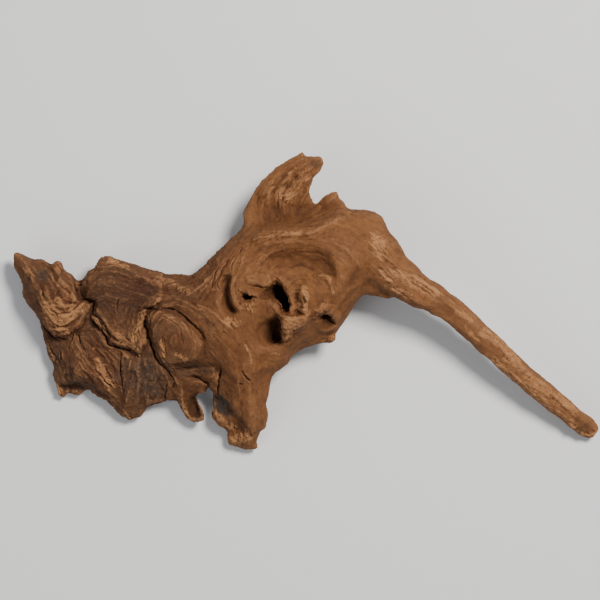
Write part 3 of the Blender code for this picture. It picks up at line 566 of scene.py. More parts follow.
def bundles(plan):
    """Bundles of fibres: cells about points jittered on a lattice. Gives each point's offset
    from its cell's middle, its distance to the border as the second nearest less the nearest
    distance, and three random numbers of the cell."""
    place = plan / BUNDLE_SIZE
    home = np.floor(place).astype(np.int64)
    nearest = np.full(len(plan), np.inf)
    second = np.full(len(plan), np.inf)
    offset = np.zeros_like(plan)
    chance = np.zeros((len(plan), 3))
    for step in np.ndindex(3, 3):
        cell = home + np.array(step) - 1
        drawn = np.stack([lattice_draw((cell[:, 0], cell[:, 1], np.int64(0)), seed) / 2 ** 32
                          for seed in range(5)], axis=1)
        away = place - cell - drawn[:, :2]
        gap = np.hypot(away[:, 0], away[:, 1])
        closer = gap < nearest
        second = np.where(closer, nearest, np.minimum(second, gap))
        nearest = np.where(closer, gap, nearest)
        offset[closer] = away[closer]
        chance[closer] = drawn[closer, 2:]
    return offset * BUNDLE_SIZE, (second - nearest) * BUNDLE_SIZE, chance


class GrainMap:
    """Fibres over the plan of the wood: noise drawn out along the grain lines."""

    CELL = 0.5
    COARSE = 4
    MARGIN = 12.0

    def __init__(self, low, high):
        self.low = np.array(low[:2]) - self.MARGIN
        size = np.ceil((np.array(high[:2]) + self.MARGIN - self.low) / self.CELL)
        self.size = size.astype(int)
        columns, rows = np.meshgrid(np.arange(self.size[0]), np.arange(self.size[1]),
                                    indexing="ij")
        self.cells = np.stack([columns.ravel(), rows.ravel()], axis=1).astype(float)
        self.cosine, self.sine = self.drawn_turn()
        self.direction = self.heading(self.low + self.cells * self.CELL)

    def drawn_turn(self):
        """Cosine and sine of twice the grain's angle, every COARSE cells. Each stretch of each
        line adds its own, weighted by one over the fourth power of its distance, so that a line
        has no sign."""
        lines = list(GRAIN_LINES.values())
        for x, y, wide, tall, first, last in GRAIN_RINGS.values():
            turn = np.radians(np.linspace(first, last, RING_POINTS))
            lines.append(np.stack([x + wide * np.cos(turn), y + tall * np.sin(turn)], axis=1))
        cells = self.cells.reshape(*self.size, 2)[::self.COARSE, ::self.COARSE]
        shape = cells.shape[:2]
        plan = self.low + cells.reshape(-1, 2) * self.CELL
        total = np.zeros((len(plan), 2))
        for corners in map(corners_of, lines):
            for start, run in zip(corners, np.diff(corners, axis=0)):
                _, gap = segment_gap(plan, start, run)
                angle = 2 * math.atan2(run[1], run[0])
                weight = 1 / (gap ** 2 + GRAIN_BLEND) ** 2
                total += weight[:, None] * (math.cos(angle), math.sin(angle))
        total /= np.hypot(total[:, 0], total[:, 1])[:, None]
        return total[:, 0].reshape(shape), total[:, 1].reshape(shape)

    def heading(self, plan):
        """Unit vector along the grain at each point; which of its two ends it names is open."""
        cell = self.CELL * self.COARSE
        angle = np.arctan2(self.sample(self.sine, plan, cell),
                           self.sample(self.cosine, plan, cell)) / 2
        return np.stack([np.cos(angle), np.sin(angle)], axis=1)

    def drawn_out(self, speck, reach, seed):
        """Random specks averaged along the grain for reach cells both ways, then levelled to
        mean 0 and spread 1."""
        draw = np.random.default_rng(seed)
        small = draw.standard_normal((self.size // speck) + 1)
        specks = np.repeat(np.repeat(small, speck, 0), speck, 1)[:self.size[0], :self.size[1]]
        direction = self.direction.reshape(*self.size, 2)
        total = np.zeros(len(self.cells))
        for sense in (1, -1):
            place = self.cells.copy()
            heading = self.direction * sense
            for _ in range(reach):
                place = np.clip(place + heading, 0, self.size - 1)
                cell = np.rint(place).astype(int)
                total += specks[cell[:, 0], cell[:, 1]]
                ahead = direction[cell[:, 0], cell[:, 1]]
                agree = np.sign((ahead * heading).sum(axis=1))
                heading = ahead * np.where(agree == 0, 1, agree)[:, None]
        total = total.reshape(self.size)
        total = (total + np.roll(total, 1, 0) + np.roll(total, 1, 1)) / 3
        return (total - total.mean()) / total.std()

    def sample(self, field, plan, size=CELL):
        """The field at each point, blended from the four cells round it."""
        place = np.clip((plan - self.low) / size, 0, np.array(field.shape) - 1.001)
        cell = np.floor(place).astype(int)
        part = place - cell
        here = field[cell[:, 0], cell[:, 1]] * (1 - part[:, 0])
        here += field[cell[:, 0] + 1, cell[:, 1]] * part[:, 0]
        above = field[cell[:, 0], cell[:, 1] + 1] * (1 - part[:, 0])
        above += field[cell[:, 0] + 1, cell[:, 1] + 1] * part[:, 0]
        return here * (1 - part[:, 1]) + above * part[:, 1]


def growth(points):
    """Depth in the growth layers: distance to the nearest pith, near each knot the distance to
    the knot instead, and all of it bent by noise."""
    depth = np.full(len(points), np.inf)
    for line in PITHS.values():
        corners = corners_of(line, 3)
        for start, run in zip(corners, np.diff(corners, axis=0)):
            depth = np.minimum(depth, segment_gap(points, start, run)[1])
    for x, y, reach, stretch in KNOTS.values():
        offset = points[:, :2] - (x, y)
        radius = np.hypot(offset[:, 0] * stretch, offset[:, 1])
        share = ramped(radius / reach, *KNOT_FADE)
        depth = depth * (1 - share) + (radius * KNOT_DEPTH[0] + KNOT_DEPTH[1]) * share
    size, seed, strength = BEND
    return depth + strength * layered_cloud(points, size, seed)


def worked(mesh, name, *modifiers):
    """A new mesh: the given one after each modifier, named by its kind, with its settings."""
    item = bpy.data.objects.new(name, mesh)
    bpy.context.scene.collection.objects.link(item)
    for kind, settings in modifiers:
        modifier = item.modifiers.new(kind.lower(), kind)
        for key, value in settings.items():
            setattr(modifier, key, value)
    depsgraph = bpy.context.evaluated_depsgraph_get()
    finished = bpy.data.meshes.new_from_object(item.evaluated_get(depsgraph),
                                               depsgraph=depsgraph)
    bpy.data.objects.remove(item, do_unlink=True)
    return finished


def base_mesh(cell):
    """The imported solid, welded, remade in even cells and eased so that no facet shows."""
    source = bmesh.new()
    source.from_mesh(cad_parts[NODE].data)
    bmesh.ops.remove_doubles(source, verts=source.verts, dist=WELD)
    mesh = bpy.data.meshes.new("rough wood")
    source.to_mesh(mesh)
    source.free()
    return worked(mesh, "rough wood", ("REMESH", {"mode": "VOXEL", "voxel_size": cell}),
                  ("SMOOTH", {"factor": 0.5, "iterations": EASE_ROUNDS}))


def over_smooth(mesh, points, normals, rounds, height):
    """How far each vertex stands out of the mesh smoothed so many times, from 0 at the height
    below it to 1 at the height above it."""
    smooth = worked(mesh, "eased", ("SMOOTH", {"factor": 1.0, "iterations": rounds}))
    out = ((points - mm_points(smooth)) * normals).sum(axis=1)
    bpy.data.meshes.remove(smooth)
    return 0.5 + 0.5 * np.clip(out / height, -1, 1)


def raised(plan, up, opened):
    """Lift of the flakes, welts and lips, less the depth of the checks, and the shade in the
    checks and along the flakes' feet."""
    rise = np.zeros(len(plan))
    crack = np.zeros(len(plan))
    for outline, height, width in FLAKES.values():
        chosen, gap, _ = line_gap(plan, outline + outline[:2], CRACK_REACH)
        kept = inside(plan[chosen], outline)
        rise[chosen] += np.where(kept, height * ramped(gap, 0, width), 0) * up[chosen]
        foot = FOOT_SHADE * opened[chosen] * np.clip(1 - gap / CRACK_REACH, 0, 1)
        crack[chosen] = np.maximum(crack[chosen], np.where(kept, 0, foot) * up[chosen])
    for line, width, height in WELTS.values():
        chosen, gap, _ = line_gap(plan, line, width * WELT_REACH)
        rise[chosen] += height * np.exp(-(gap / width) ** 2) * up[chosen]
    for line, width, depth in CHECKS.values():
        chosen, gap, passed = line_gap(plan, line, CHECK_REACH)
        taper = np.sqrt(np.clip(np.minimum(passed, 1 - passed) / CHECK_TAPER, 0, 1))
        taper *= opened[chosen]
        wide = width * (LEAST_WIDTH + (1 - LEAST_WIDTH) * taper)
        notch = np.clip(1 - gap / wide, 0, 1) ** NOTCH_POWER
        lip = LIP_HEIGHT * np.exp(-((gap - width * LIP_PLACE) / width) ** 2)
        rise[chosen] += (lip - depth * notch * taper) * up[chosen]
        wide = CRACK_REACH * (LEAST_SHADE + (1 - LEAST_SHADE) * taper)
        near = np.clip(1 - gap / wide, 0, 1) * min(1.0, SHALLOW_SHADE + depth / SHADE_DEPTH)
        crack[chosen] = np.maximum(crack[chosen], near * up[chosen])
    return rise, crack


def carve(mesh, settings):
    """Works the surface and returns the masks that the material reads, by name."""
    points = mm_points(mesh)
    normals = vertex_rows(mesh, "normal")
    up = ramped(normals[:, 2], *UP)
    down = ramped(normals[:, 2], *DOWN)
    steep = ramped(np.abs(normals[:, 2]), *STEEP)

    wobble = shake(points, *WOBBLE[:2])
    fray = shake(points, *FRAY[:2])
    plan = points[:, :2] + WOBBLE[2] * wobble + FRAY[2] * fray
    opened = 0.5 + 0.5 * ramped(cloud(points, *OPENED), *OPENED_SPAN)
    rise, crack = raised(plan, up, opened)
    worn = np.maximum(patches(plan, WORN_PATCHES), strokes(plan, WORN_STROKES)) * up

    rough = levelled(points, ROUGH_PLACES, ROUGH_LEVEL)
    offset, border, chance = bundles(plan + BUNDLE_WOBBLE * wobble)
    tilt = ((chance[:, :2] - 0.5) * offset).sum(axis=1) * BUNDLE_TILT
    parted = (1 - border / BUNDLE_GAP).clip(0, 1) * (chance[:, 2] > BUNDLES_JOINED) * rough
    rise += (rough - ROUGH_LEVEL) * (tilt - GAP_DEPTH * parted) * up
    crack = np.maximum(crack, GAP_SHADE * parted * up)

    grain = GrainMap(points.min(0), points.max(0))
    shift = BUNDLE_SHIFT * (chance[:, :2] - 0.5) * rough[:, None]
    flat = points[:, :2] + FIBRE_WOBBLE * wobble + shift
    drawn = points * (WALL_STRETCH, WALL_STRETCH, 1.0)
    ribs = grain.sample(grain.drawn_out(*LONG_FIBRES), flat) * (1 - steep)
    ribs += WALL_STRENGTH * layered_cloud(drawn, *WALL_RIBS, layers=2) * steep
    hairs = grain.sample(grain.drawn_out(*SHORT_FIBRES), flat) * (1 - steep)
    hairs += WALL_STRENGTH * layered_cloud(drawn * (2, 2, 1), *WALL_HAIRS, layers=2) * steep

    layers = growth(points)
    ring = np.sin(math.tau * layers / RING_STEP)
    knobs = layered_cloud(points, *KNOBS)
    scales = SCALES * (knobs + SCALE_RIBS * ribs)
    scales = np.floor(scales) - scales
    crumble = layered_cloud(points, *CRUMBLE)
    ragged = steep * (0.5 + 0.5 * ramped(knobs, *RAGGED_SPAN))
    rough = rough + WORN_ROUGHNESS * worn * (1 - patches(points, EVEN_PLACES))

    outward = settings.grain_depth / MM * rough * (
        RELIEF["rib"] * ribs + RELIEF["hair"] * hairs + RELIEF["ring"] * ring)
    outward += rough * (RELIEF["knob"] * knobs + RELIEF["scale"] * scales * (1 - 0.5 * steep))
    outward += crumble * (RELIEF["crumb"] * rough + RELIEF["rim"] * ragged * rough ** RIM_POWER
                          + RELIEF["underside"] * down * rough)
    outward *= 1 - CRACK_CALM * crack
    points = points + normals * outward[:, None]
    points[:, 2] += rise + filled(points)
    points[:, :2] += RIM_FRAY * fray * rims(points)[:, None]
    points[:, 2] = np.maximum(points[:, 2], 0.0)
    mesh.vertices.foreach_set("co", (points * MM).ravel())
    mesh.update()

    normals = vertex_rows(mesh, "normal")
    heading = turned(grain.heading(points[:, :2]), BUNDLE_TURN * (chance[:, 2] - 0.5) * rough)
    return {
        "fibre": 0.5 + FIBRE_RIBS * ribs + FIBRE_HAIRS * hairs,
        "rib": 0.5 + RIB_SHARE * ribs * levelled(points, STREAKY_PLACES, STREAKY_LEVEL),
        "layer": layers,
        "bundle": chance[:, 1],
        "crack": crack,
        "hollow": deep_places(points),
        "bulge": over_smooth(mesh, points, normals, *BULGE),
        "swell": over_smooth(mesh, points, normals, *SWELL),
        "worn": worn,
        "stain": patches(plan, STAIN_PATCHES) * up,
        "dark": patches(plan, SHADE_AND_DARK_PATCHES) * up,
        "along": surface_heading(heading, normals),
    }


def surface_heading(heading, normals):
    """The grain's direction laid on the surface; on a steep wall it runs level instead."""
    flat = np.column_stack([heading, np.zeros(len(heading))])
    level = np.column_stack([-normals[:, 1], normals[:, 0], np.zeros(len(heading))])
    agree = np.where((level * flat).sum(axis=1) < 0, -1.0, 1.0)
    wall = ramped(np.abs(normals[:, 2]), *WALL)[:, None]
    mixed = flat * (1 - wall) + level * agree[:, None] * wall
    mixed -= normals * (mixed * normals).sum(axis=1)[:, None]
    return mixed / np.maximum(np.linalg.norm(mixed, axis=1), 1e-6)[:, None]


def round_place(points, x, y, radius, end):
    """1 in a round place, 0 from its end on, which is in radii, and 0 on the hub's underside."""
    gap = np.hypot(points[:, 0] - x, points[:, 1] - y) / radius
    return ramped(gap, end, end - ROUND_EDGE) * ramped(points[:, 2], *OVER_UNDERSIDE)


def filled(points):
    """Lift of the points below each rim, so that only a share of the depth is left."""
    lift = np.zeros(len(points))
    for x, y, radius, rim, share in FILLED:
        near = round_place(points, x, y, radius, FILLED_END)
        lift += near * (1 - share) * np.maximum(rim - points[:, 2], 0)
    return lift


def rims(points):
    """1 round each hollow, fading to 0 outside its reach."""
    return np.max([round_place(points, x, y, radius, RIM_END) for x, y, radius in RIMS], axis=0)


def deep_places(points):
    """Painted shade: 1 at the bottom of each hollow, fading to 0 at its mouth and outside its
    radius.
    """
    return np.max([round_place(points, x, y, radius, DEEP_END)
                   * ramped(points[:, 2], mouth, mouth - DARK_FROM * (mouth - floor))
                   for x, y, radius, floor, mouth in DEEP_PLACES], axis=0)


def thinned(mesh, facets, name):
    """The mesh in at most so many facets, as an object with smooth faces."""
    count = sum(len(face.vertices) - 2 for face in mesh.polygons)
    finished = worked(mesh, name, ("DECIMATE", {"ratio": min(1.0, facets / count),
                                                "use_collapse_triangulate": True}))
    finished.shade_smooth()
    item = bpy.data.objects.new(name, finished)
    bpy.context.scene.collection.objects.link(item)
    return item


def add_masks(mesh, masks):
    """Each mask becomes an attribute of the vertices: numbers, or vectors where it has three."""
    for name, values in masks.items():
        kind, field = ("FLOAT", "value") if values.ndim == 1 else ("FLOAT_VECTOR", "vector")
        layer = mesh.attributes.new(name, kind, "POINT")
        layer.data.foreach_set(field, values.astype(np.float32).ravel())


class Nodes:
    """Short hand for putting nodes into one tree and linking them."""

    def __init__(self, tree):
        self.tree = tree

    def add(self, kind, **values):
        node = self.tree.nodes.new(kind)
        for name, value in values.items():
            setattr(node, name, value)
        return node

    def link(self, source, target):
        self.tree.links.new(source, target)

    def feed(self, target, value):
        if isinstance(value, bpy.types.NodeSocket):
            self.link(value, target)
        else:
            target.default_value = value

    def math(self, operation, *values, clamp=False):
        node = self.add("ShaderNodeMath", operation=operation, use_clamp=clamp)
        for socket, value in zip(node.inputs, values):
            self.feed(socket, value)
        return node.outputs[0]

    def times(self, first, second, clamp=False):
        """The product of the two."""
        return self.math("MULTIPLY", first, second, clamp=clamp)

    def plus(self, total, value, share, clamp=False):
        """The total and a share of the value."""
        return self.math("MULTIPLY_ADD", value, share, total, clamp=clamp)

    def most(self, first, second):
        """The larger of the two."""
        return self.math("MAXIMUM", first, second)

    def ramp(self, value, low, high, start=0.0, end=1.0):
        """The value carried from the span low to high to the span start to end, held there."""
        node = self.add("ShaderNodeMapRange", interpolation_type="SMOOTHSTEP")
        for name, number in zip(("Value", "From Min", "From Max", "To Min", "To Max"),
                                (value, low, high, start, end)):
            self.feed(node.inputs[name], number)
        return node.outputs["Result"]

    def mix(self, share, first, second, blend="MIX"):
        node = self.add("ShaderNodeMix", data_type="RGBA", blend_type=blend)
        self.feed(node.inputs["Factor"], share)
        self.feed(node.inputs[6], first)
        self.feed(node.inputs[7], second)
        return node.outputs[2]

    def noise(self, place, scale, detail=3.0, roughness=0.6):
        node = self.add("ShaderNodeTexNoise")
        self.feed(node.inputs["Vector"], place)
        for name, value in (("Scale", scale), ("Detail", detail), ("Roughness", roughness)):
            node.inputs[name].default_value = value
        return node.outputs["Fac"]

    def shifted(self, place, along, distance):
        """The place moved so far along a direction."""
        node = self.add("ShaderNodeVectorMath", operation="MULTIPLY_ADD")
        self.feed(node.inputs[0], along)
        node.inputs[1].default_value = (distance, distance, distance)
        self.feed(node.inputs[2], place)
        return node.outputs[0]

    def mask(self, name):
        return self.add("ShaderNodeAttribute", attribute_name=name).outputs["Fac"]

    def group(self, tree, **given):
        """A node for the group, with its sockets fed by name."""
        node = self.add("ShaderNodeGroup")
        node.node_tree = tree
        for name, value in given.items():
            self.feed(node.inputs[name], value)
        return node.outputs


def new_group(name, inputs, outputs):
    """An empty shader group: its nodes, what it is given, and its output node's sockets. All
    outputs are numbers."""
    tree = bpy.data.node_groups.new(name, "ShaderNodeTree")
    for socket, kind in inputs.items():
        tree.interface.new_socket(socket, in_out="INPUT", socket_type=kind)
    for socket in outputs:
        tree.interface.new_socket(socket, in_out="OUTPUT", socket_type="NodeSocketFloat")
    nodes = Nodes(tree)
    return nodes, nodes.add("NodeGroupInput").outputs, nodes.add("NodeGroupOutput").inputs


# Fibres in the colour: noise scale, step along the grain, gain that restores the contrast
STREAKS = {"Broad": (280.0, 0.0026, 2.8), "Coarse": (640.0, 0.0011, 2.6),
           "Fine": (2100.0, 0.00035, 2.8)}
STREAK_REACH = 4
# Noise in the colour: scale, detail, roughness
NOISES = {"blotch": (30.0, 5.0, 0.65), "mottle": (150.0, 5.0, 0.7), "speck": (700.0, 3.0, 0.6),
          "patchy": (48.0, 3.0, 0.6), "dust": (62.0, 5.0, 0.7), "fleck": (300.0, 5.0, 0.8)}
# Where along X the plate turns into the hub, and the hub into the arm
PLATE_TO_HUB = (-0.13, -0.03)
HUB_TO_ARM = (0.0, 0.14)


def streak_group():
    """Fibres: noise averaged at steps along the grain, then stretched about its middle."""
    vector = "NodeSocketVector"
    nodes, given, result = new_group("fibres", {"Place": vector, "Along": vector}, STREAKS)
    for name, (scale, step, gain) in STREAKS.items():
        total = 0.0
        for tap in range(-STREAK_REACH, STREAK_REACH + 1):
            place = nodes.shifted(given["Place"], given["Along"], step * tap)
            total = nodes.math("ADD", nodes.noise(place, scale, 1.0), total)
        mean = nodes.times(total, 1 / (2 * STREAK_REACH + 1))
        spread = nodes.plus(0.5, nodes.math("SUBTRACT", mean, 0.5), gain, clamp=True)
        nodes.link(spread, result[name])
    return nodes.tree


def grain_group():
    """Fine grain: lines along the fibres and the growth layers, and the height with pores."""
    number = "NodeSocketFloat"
    nodes, given, result = new_group("fine grain", {
        "Place": "NodeSocketVector", "Fibre": number, "Layer": number, "Streak": number},
        ("Lines", "Height"))
    place = given["Place"]
    wander = nodes.times(nodes.noise(place, 55.0, 4.0), 11.0)
    turn = nodes.plus(nodes.plus(wander, given["Layer"], 2.1), given["Fibre"], 9.0)
    ring = nodes.math("POWER", nodes.plus(0.5, nodes.math("SINE", turn), 0.5), 2.2)
    ring = nodes.times(ring, nodes.ramp(nodes.noise(place, 90.0, 3.0), 0.4, 0.62))
    lines = nodes.plus(nodes.times(ring, 0.16), given["Streak"], 0.84)
    grit = nodes.times(nodes.noise(place, 1500.0, 3.0, 0.7), 0.3)
    pores = nodes.ramp(nodes.noise(place, 620.0, 2.0, 0.5), 0.33, 0.45)
    nodes.link(lines, result["Lines"])
    nodes.link(nodes.plus(nodes.plus(grit, lines, 0.6), pores, 0.25), result["Height"])
    return nodes.tree


def wood_material(settings):
    """Bare worn wood: brown heartwood, pale where it is rubbed, grey where it is stained, with
    painted shade where the form falls back and in its hollows, and near black painted shade in its
    clefts."""
    material = bpy.data.materials.new("worn driftwood")
    material.use_nodes = True
    tree = material.node_tree
    tree.nodes.clear()
    nodes = Nodes(tree)
    times, plus, most, ramp = nodes.times, nodes.plus, nodes.most, nodes.ramp
    place = nodes.add("ShaderNodeTexCoord").outputs["Object"]
    rib, bulge, swell, worn = (nodes.mask(name) for name in ("rib", "bulge", "swell", "worn"))
    blotch, mottle, speck, patchy, dust, fleck = (
        nodes.noise(place, *numbers) for numbers in NOISES.values())
    patchy = ramp(patchy, 0.42, 0.62)
    along = nodes.add("ShaderNodeAttribute", attribute_name="along").outputs["Vector"]
    fibres = nodes.group(streak_group(), Place=place, Along=along)
    broad, coarse, fine = (fibres[name] for name in STREAKS)
    streak = plus(times(fine, 0.45), coarse, 0.55)
    grain = nodes.group(grain_group(), Place=place, Fibre=nodes.mask("fibre"),
                        Layer=nodes.mask("layer"), Streak=streak)
    lines = grain["Lines"]
    spread = nodes.add("ShaderNodeSeparateXYZ")
    nodes.link(place, spread.inputs[0])
    side = ramp(spread.outputs["X"], *PLATE_TO_HUB)

    def laid(colour, share, name):
        """A share of the named colour laid over another."""
        return nodes.mix(share, colour, tuple(getattr(settings, name + "_colour")))

    # Heartwood: brown by limb, blotched, with bundles, dried silt, furrows and darker places, and
    # painted shade from the dark patches
    colour = laid(tuple(settings.plate_colour), side, "hub")
    colour = laid(colour, ramp(spread.outputs["X"], *HUB_TO_ARM), "arm")
    colour = laid(colour, ramp(blotch, 0.42, 0.66, 0.0, 0.5), "red")
    bundle = times(nodes.mask("bundle"), ramp(side, 0.0, 1.0, 0.5, 0.1))
    colour = laid(colour, bundle, "dark_wood_and_shade")
    dust = times(ramp(dust, 0.44, 0.66, 0.0, 0.55), ramp(side, 0.0, 1.0, 1.0, 0.25))
    colour = laid(colour, dust, "dust")
    furrow = times(ramp(rib, 0.46, 0.15, 0.0, 0.75), ramp(patchy, 1.0, 0.0, 0.35, 1.0))
    # Painted shade and darker wood where the dark patches lie
    shade_and_darker = times(nodes.mask("dark"), ramp(mottle, 0.66, 0.34, 0.55, 1.0))
    dark = most(ramp(mottle, 0.56, 0.36, 0.0, 0.4), furrow)
    dark = most(dark, ramp(broad, 0.4, 0.1, 0.0, 0.45))
    colour = laid(colour, most(dark, shade_and_darker), "dark_wood_and_shade")

    # Rubbed: paler where the form, the ribs and the streaks stand out
    rub = times(ramp(bulge, 0.52, 0.95), 0.7)
    rub = plus(rub, ramp(swell, 0.5, 0.9), 0.3)
    rub = plus(rub, ramp(streak, 0.5, 0.85), 0.24)
    rub = plus(rub, ramp(rib, 0.5, 0.85), ramp(patchy, 0.0, 1.0, 0.1, 0.75))
    rub = times(rub, ramp(speck, 0.3, 0.65, 0.5, 1.0))
    colour = laid(colour, times(rub, 0.75, clamp=True), "rubbed")

    # Worn: bare pale fibres, which end in feathers where the mask fades
    feather = plus(times(fine, 0.7), coarse, 0.9)
    feather = plus(plus(feather, broad, 0.9), rib, 0.7)
    pale = nodes.math("SUBTRACT", plus(feather, worn, 1.1), 1.72)
    pale = times(ramp(pale, 0.22, 0.95), ramp(worn, 0.0, 0.25))
    scratch = plus(times(fine, 0.5), coarse, 0.5)
    pale = times(pale, ramp(scratch, 0.34, 0.62, 0.15, 1.0))
    colour = laid(colour, times(pale, 0.95), "pale")

    # Stained: grey grime, with flecks of silt
    grime = times(nodes.mask("stain"), ramp(mottle, 0.62, 0.38, 0.35, 1.0))
    colour = laid(colour, grime, "stain")
    fleck = times(ramp(fleck, 0.53, 0.68), ramp(grime, 0.0, 0.4, 0.06, 0.9))
    fleck = times(fleck, ramp(side, 0.0, 1.0, 1.0, 0.3))
    colour = laid(colour, fleck, "silt")

    # Painted shade: dark where the form falls back, in the deep places and in the checks
    shade = most(ramp(bulge, 0.48, 0.1, 0.0, 0.7), ramp(swell, 0.44, 0.05, 0.0, 0.5))
    colour = laid(colour, shade, "dark_wood_and_shade")
    tint = ramp(lines, 0.15, 0.85, 0.72, 1.12)
    tone = nodes.add("ShaderNodeCombineColor")
    for channel in tone.inputs[:3]:
        nodes.link(tint, channel)
    colour = nodes.mix(1.0, colour, tone.outputs[0], blend="MULTIPLY")
    # Painted shade at the bottom of the imported hollows
    colour = laid(colour, times(nodes.mask("hollow"), 0.6), "dark_wood_and_shade")
    # Painted near black shade in the checks, in the bundles' open gaps and at the feet of the
    # flakes
    frayed = plus(plus(nodes.mask("crack"), speck, 0.3), mottle, 0.3)
    colour = laid(colour, times(ramp(frayed, 1.04, 1.26), 0.92), "cleft_shade")

    bump = nodes.add("ShaderNodeBump")
    bump.inputs["Strength"].default_value = 0.7
    bump.inputs["Distance"].default_value = 0.0005
    nodes.link(grain["Height"], bump.inputs["Height"])
    shader = nodes.add("ShaderNodeBsdfPrincipled")
    nodes.link(colour, shader.inputs["Base Color"])
    nodes.link(ramp(lines, 0.0, 1.0, 0.9, 0.72), shader.inputs["Roughness"])
    shader.inputs["Specular IOR Level"].default_value = 0.18
    nodes.link(bump.outputs["Normal"], shader.inputs["Normal"])
    output = nodes.add("ShaderNodeOutputMaterial")
    nodes.link(shader.outputs["BSDF"], output.inputs["Surface"])
    return material


def plain_material(name, colour, roughness):
    material = bpy.data.materials.new(name)
    material.use_nodes = True
    shader = material.node_tree.nodes["Principled BSDF"]
    shader.inputs["Base Color"].default_value = colour
    shader.inputs["Roughness"].default_value = roughness
    return material


def colour_property(name, description, *colour):
    return FloatVectorProperty(name=name, description=description, default=(*colour, 1.0),
                               size=4, min=0.0, max=1.0, subtype="COLOR")


class WoodSettings(bpy.types.PropertyGroup):
    """Sizes and colours of the wood."""

    cell: FloatProperty(
        name="Working cell", description="Width of the cells that the surface is carved in",
        default=0.00072, min=0.0005, max=0.003, unit="LENGTH")
    facets: IntProperty(
        name="Facets", description="Most triangles in the finished wood",
        default=190000, min=20000, max=200000)
    grain_depth: FloatProperty(
        name="Grain depth", description="Height of the ribs that the water has left standing",
        default=0.00032, min=0.0, max=0.001, unit="LENGTH")
    plate_colour: colour_property("Plate", "Dark brown of the root plate", 0.084, 0.035, 0.0145)
    hub_colour: colour_property("Hub", "Middle brown of the hub", 0.165, 0.066, 0.022)
    arm_colour: colour_property("Arm", "Warm brown of the arm", 0.180, 0.074, 0.027)
    red_colour: colour_property("Red heart", "Reddish heartwood in blotches",
                                0.125, 0.042, 0.014)
    dust_colour: colour_property("Dust", "Grey brown of dried silt", 0.104, 0.055, 0.028)
    rubbed_colour: colour_property("Rubbed", "Wood on knobs and ribs", 0.27, 0.126, 0.054)
    pale_colour: colour_property("Pale", "Bare fibres in the worn patches", 0.335, 0.158, 0.066)
    stain_colour: colour_property("Stain", "Grey of silt and old bark", 0.037, 0.025, 0.018)
    silt_colour: colour_property("Silt", "Pale grey flecks of silt", 0.170, 0.112, 0.070)
    # Painted shade where the form falls back, in the hollows and the dark patches; also laid on
    # mottled places, furrows between the ribs and odd bundles
    dark_wood_and_shade_colour: colour_property("Recess", "Red brown between the ribs", 0.046, 0.0145, 0.005)
    # Painted shade: near black in the checks, the bundles' gaps and at the flakes' feet
    cleft_shade_colour: colour_property("Cleft", "Near black inside checks and hollows",
                                  0.016, 0.004, 0.0012)


class StageSettings(bpy.types.PropertyGroup):
    """Floor, lights and camera."""

    floor_colour: colour_property("Floor", "Pale floor", 0.62, 0.63, 0.64)
    camera_height: FloatProperty(
        name="Camera height", description="Height of the camera over the floor",
        default=2.0, min=0.5, max=5.0, unit="LENGTH")
    view_width: FloatProperty(
        name="View width", description="Width of the view at the height of the wood's middle",
        default=0.468, min=0.1, max=2.0, unit="LENGTH")
    key_power: FloatProperty(
        name="Key light", description="Power of the large soft light", default=70.0, min=0.0,
        unit="POWER")
    sky_strength: FloatProperty(
        name="Sky", description="Strength of the even light all round", default=0.36, min=0.0)


class DRIFTWOOD_OT_wood(bpy.types.Operator):
    """Carve and finish the wood"""

    bl_idname = "driftwood.wood"
    bl_label = "Driftwood"

    def execute(self, context):
        settings = context.scene.driftwood_wood
        mesh = base_mesh(settings.cell)
        add_masks(mesh, carve(mesh, settings))
        item = thinned(mesh, settings.facets, "worn_driftwood")
        item.data.materials.clear()
        item.data.materials.append(wood_material(settings))
        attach(item, "root")
        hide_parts(NODE)
        return {"FINISHED"}


def area_light(name, place, size, power, colour):
    """A soft round light that faces the origin."""
    light = bpy.data.lights.new(name, "AREA")
    light.shape = "DISK"
    light.size = size
    light.energy = power
    light.color = colour
    item = bpy.data.objects.new(name, light)
    item.location = place
    item.rotation_euler = (-Vector(place)).to_track_quat("-Z", "Y").to_euler()
    bpy.context.scene.collection.objects.link(item)


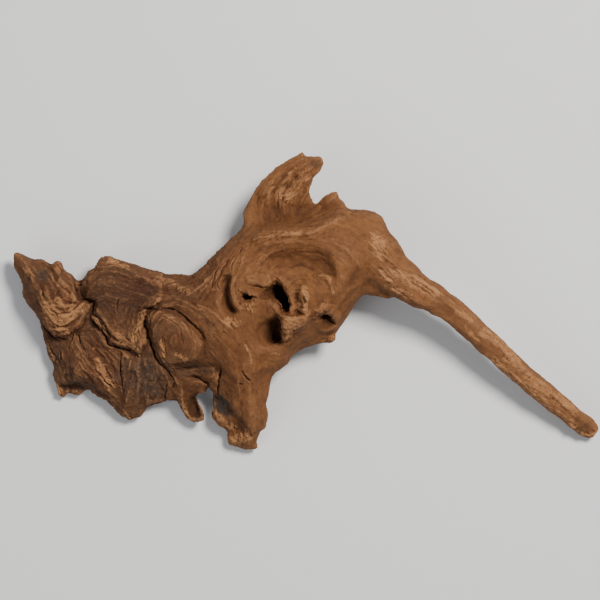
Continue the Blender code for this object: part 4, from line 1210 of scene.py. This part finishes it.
class DRIFTWOOD_OT_stage(bpy.types.Operator):
    """Lay the floor and set the lights and the camera"""

    bl_idname = "driftwood.stage"
    bl_label = "Stage"

    FLOOR_HALF = 3.0
    LOOK_X = -0.0045
    LOOK_Y = 0.0014
    MIDDLE_HEIGHT = 0.025
    FILL_SHARE = 0.18

    def execute(self, context):
        settings = context.scene.driftwood_stage
        half = self.FLOOR_HALF
        mesh = bpy.data.meshes.new("floor")
        mesh.from_pydata([(-half, -half, 0), (half, -half, 0), (half, half, 0),
                          (-half, half, 0)], [], [(0, 1, 2, 3)])
        floor = bpy.data.objects.new("floor", mesh)
        context.scene.collection.objects.link(floor)
        mesh.materials.append(plain_material("pale floor", tuple(settings.floor_colour), 0.9))

        world = bpy.data.worlds.new("soft sky")
        world.use_nodes = True
        sky = world.node_tree.nodes["Background"]
        sky.inputs["Color"].default_value = (0.96, 0.97, 1.0, 1.0)
        sky.inputs["Strength"].default_value = settings.sky_strength
        context.scene.world = world
        area_light("key", (0.75, 0.75, 1.75), 0.6, settings.key_power, (1.0, 0.96, 0.9))
        area_light("fill", (-1.3, -0.9, 1.2), 1.4, settings.key_power * self.FILL_SHARE,
                   (0.97, 0.98, 1.0))

        camera = bpy.data.cameras.new("camera")
        camera.lens = (camera.sensor_width * (settings.camera_height - self.MIDDLE_HEIGHT)
                       / settings.view_width)
        item = bpy.data.objects.new("camera", camera)
        item.location = (self.LOOK_X, self.LOOK_Y, settings.camera_height)
        context.scene.collection.objects.link(item)
        context.scene.camera = item
        return {"FINISHED"}


class DRIFTWOOD_PT_panel(bpy.types.Panel):
    """Sizes, colours and steps of the driftwood"""

    bl_label = "Driftwood"
    bl_idname = "DRIFTWOOD_PT_panel"
    bl_space_type = "VIEW_3D"
    bl_region_type = "UI"
    bl_category = "Driftwood"

    def draw(self, context):
        for settings, operator in ((context.scene.driftwood_wood, DRIFTWOOD_OT_wood),
                                   (context.scene.driftwood_stage, DRIFTWOOD_OT_stage)):
            box = self.layout.box()
            for name in settings.__annotations__:
                box.prop(settings, name)
            box.operator(operator.bl_idname)


CLASSES = (WoodSettings, StageSettings, DRIFTWOOD_OT_wood, DRIFTWOOD_OT_stage,
           DRIFTWOOD_PT_panel)


def register():
    for item in CLASSES:
        bpy.utils.register_class(item)
    bpy.types.Scene.driftwood_wood = PointerProperty(type=WoodSettings)
    bpy.types.Scene.driftwood_stage = PointerProperty(type=StageSettings)


def unregister():
    del bpy.types.Scene.driftwood_stage
    del bpy.types.Scene.driftwood_wood
    for item in reversed(CLASSES):
        bpy.utils.unregister_class(item)


def main():
    register()
    bpy.ops.driftwood.wood()
    bpy.ops.driftwood.stage()


if __name__ == "__main__":
    main()
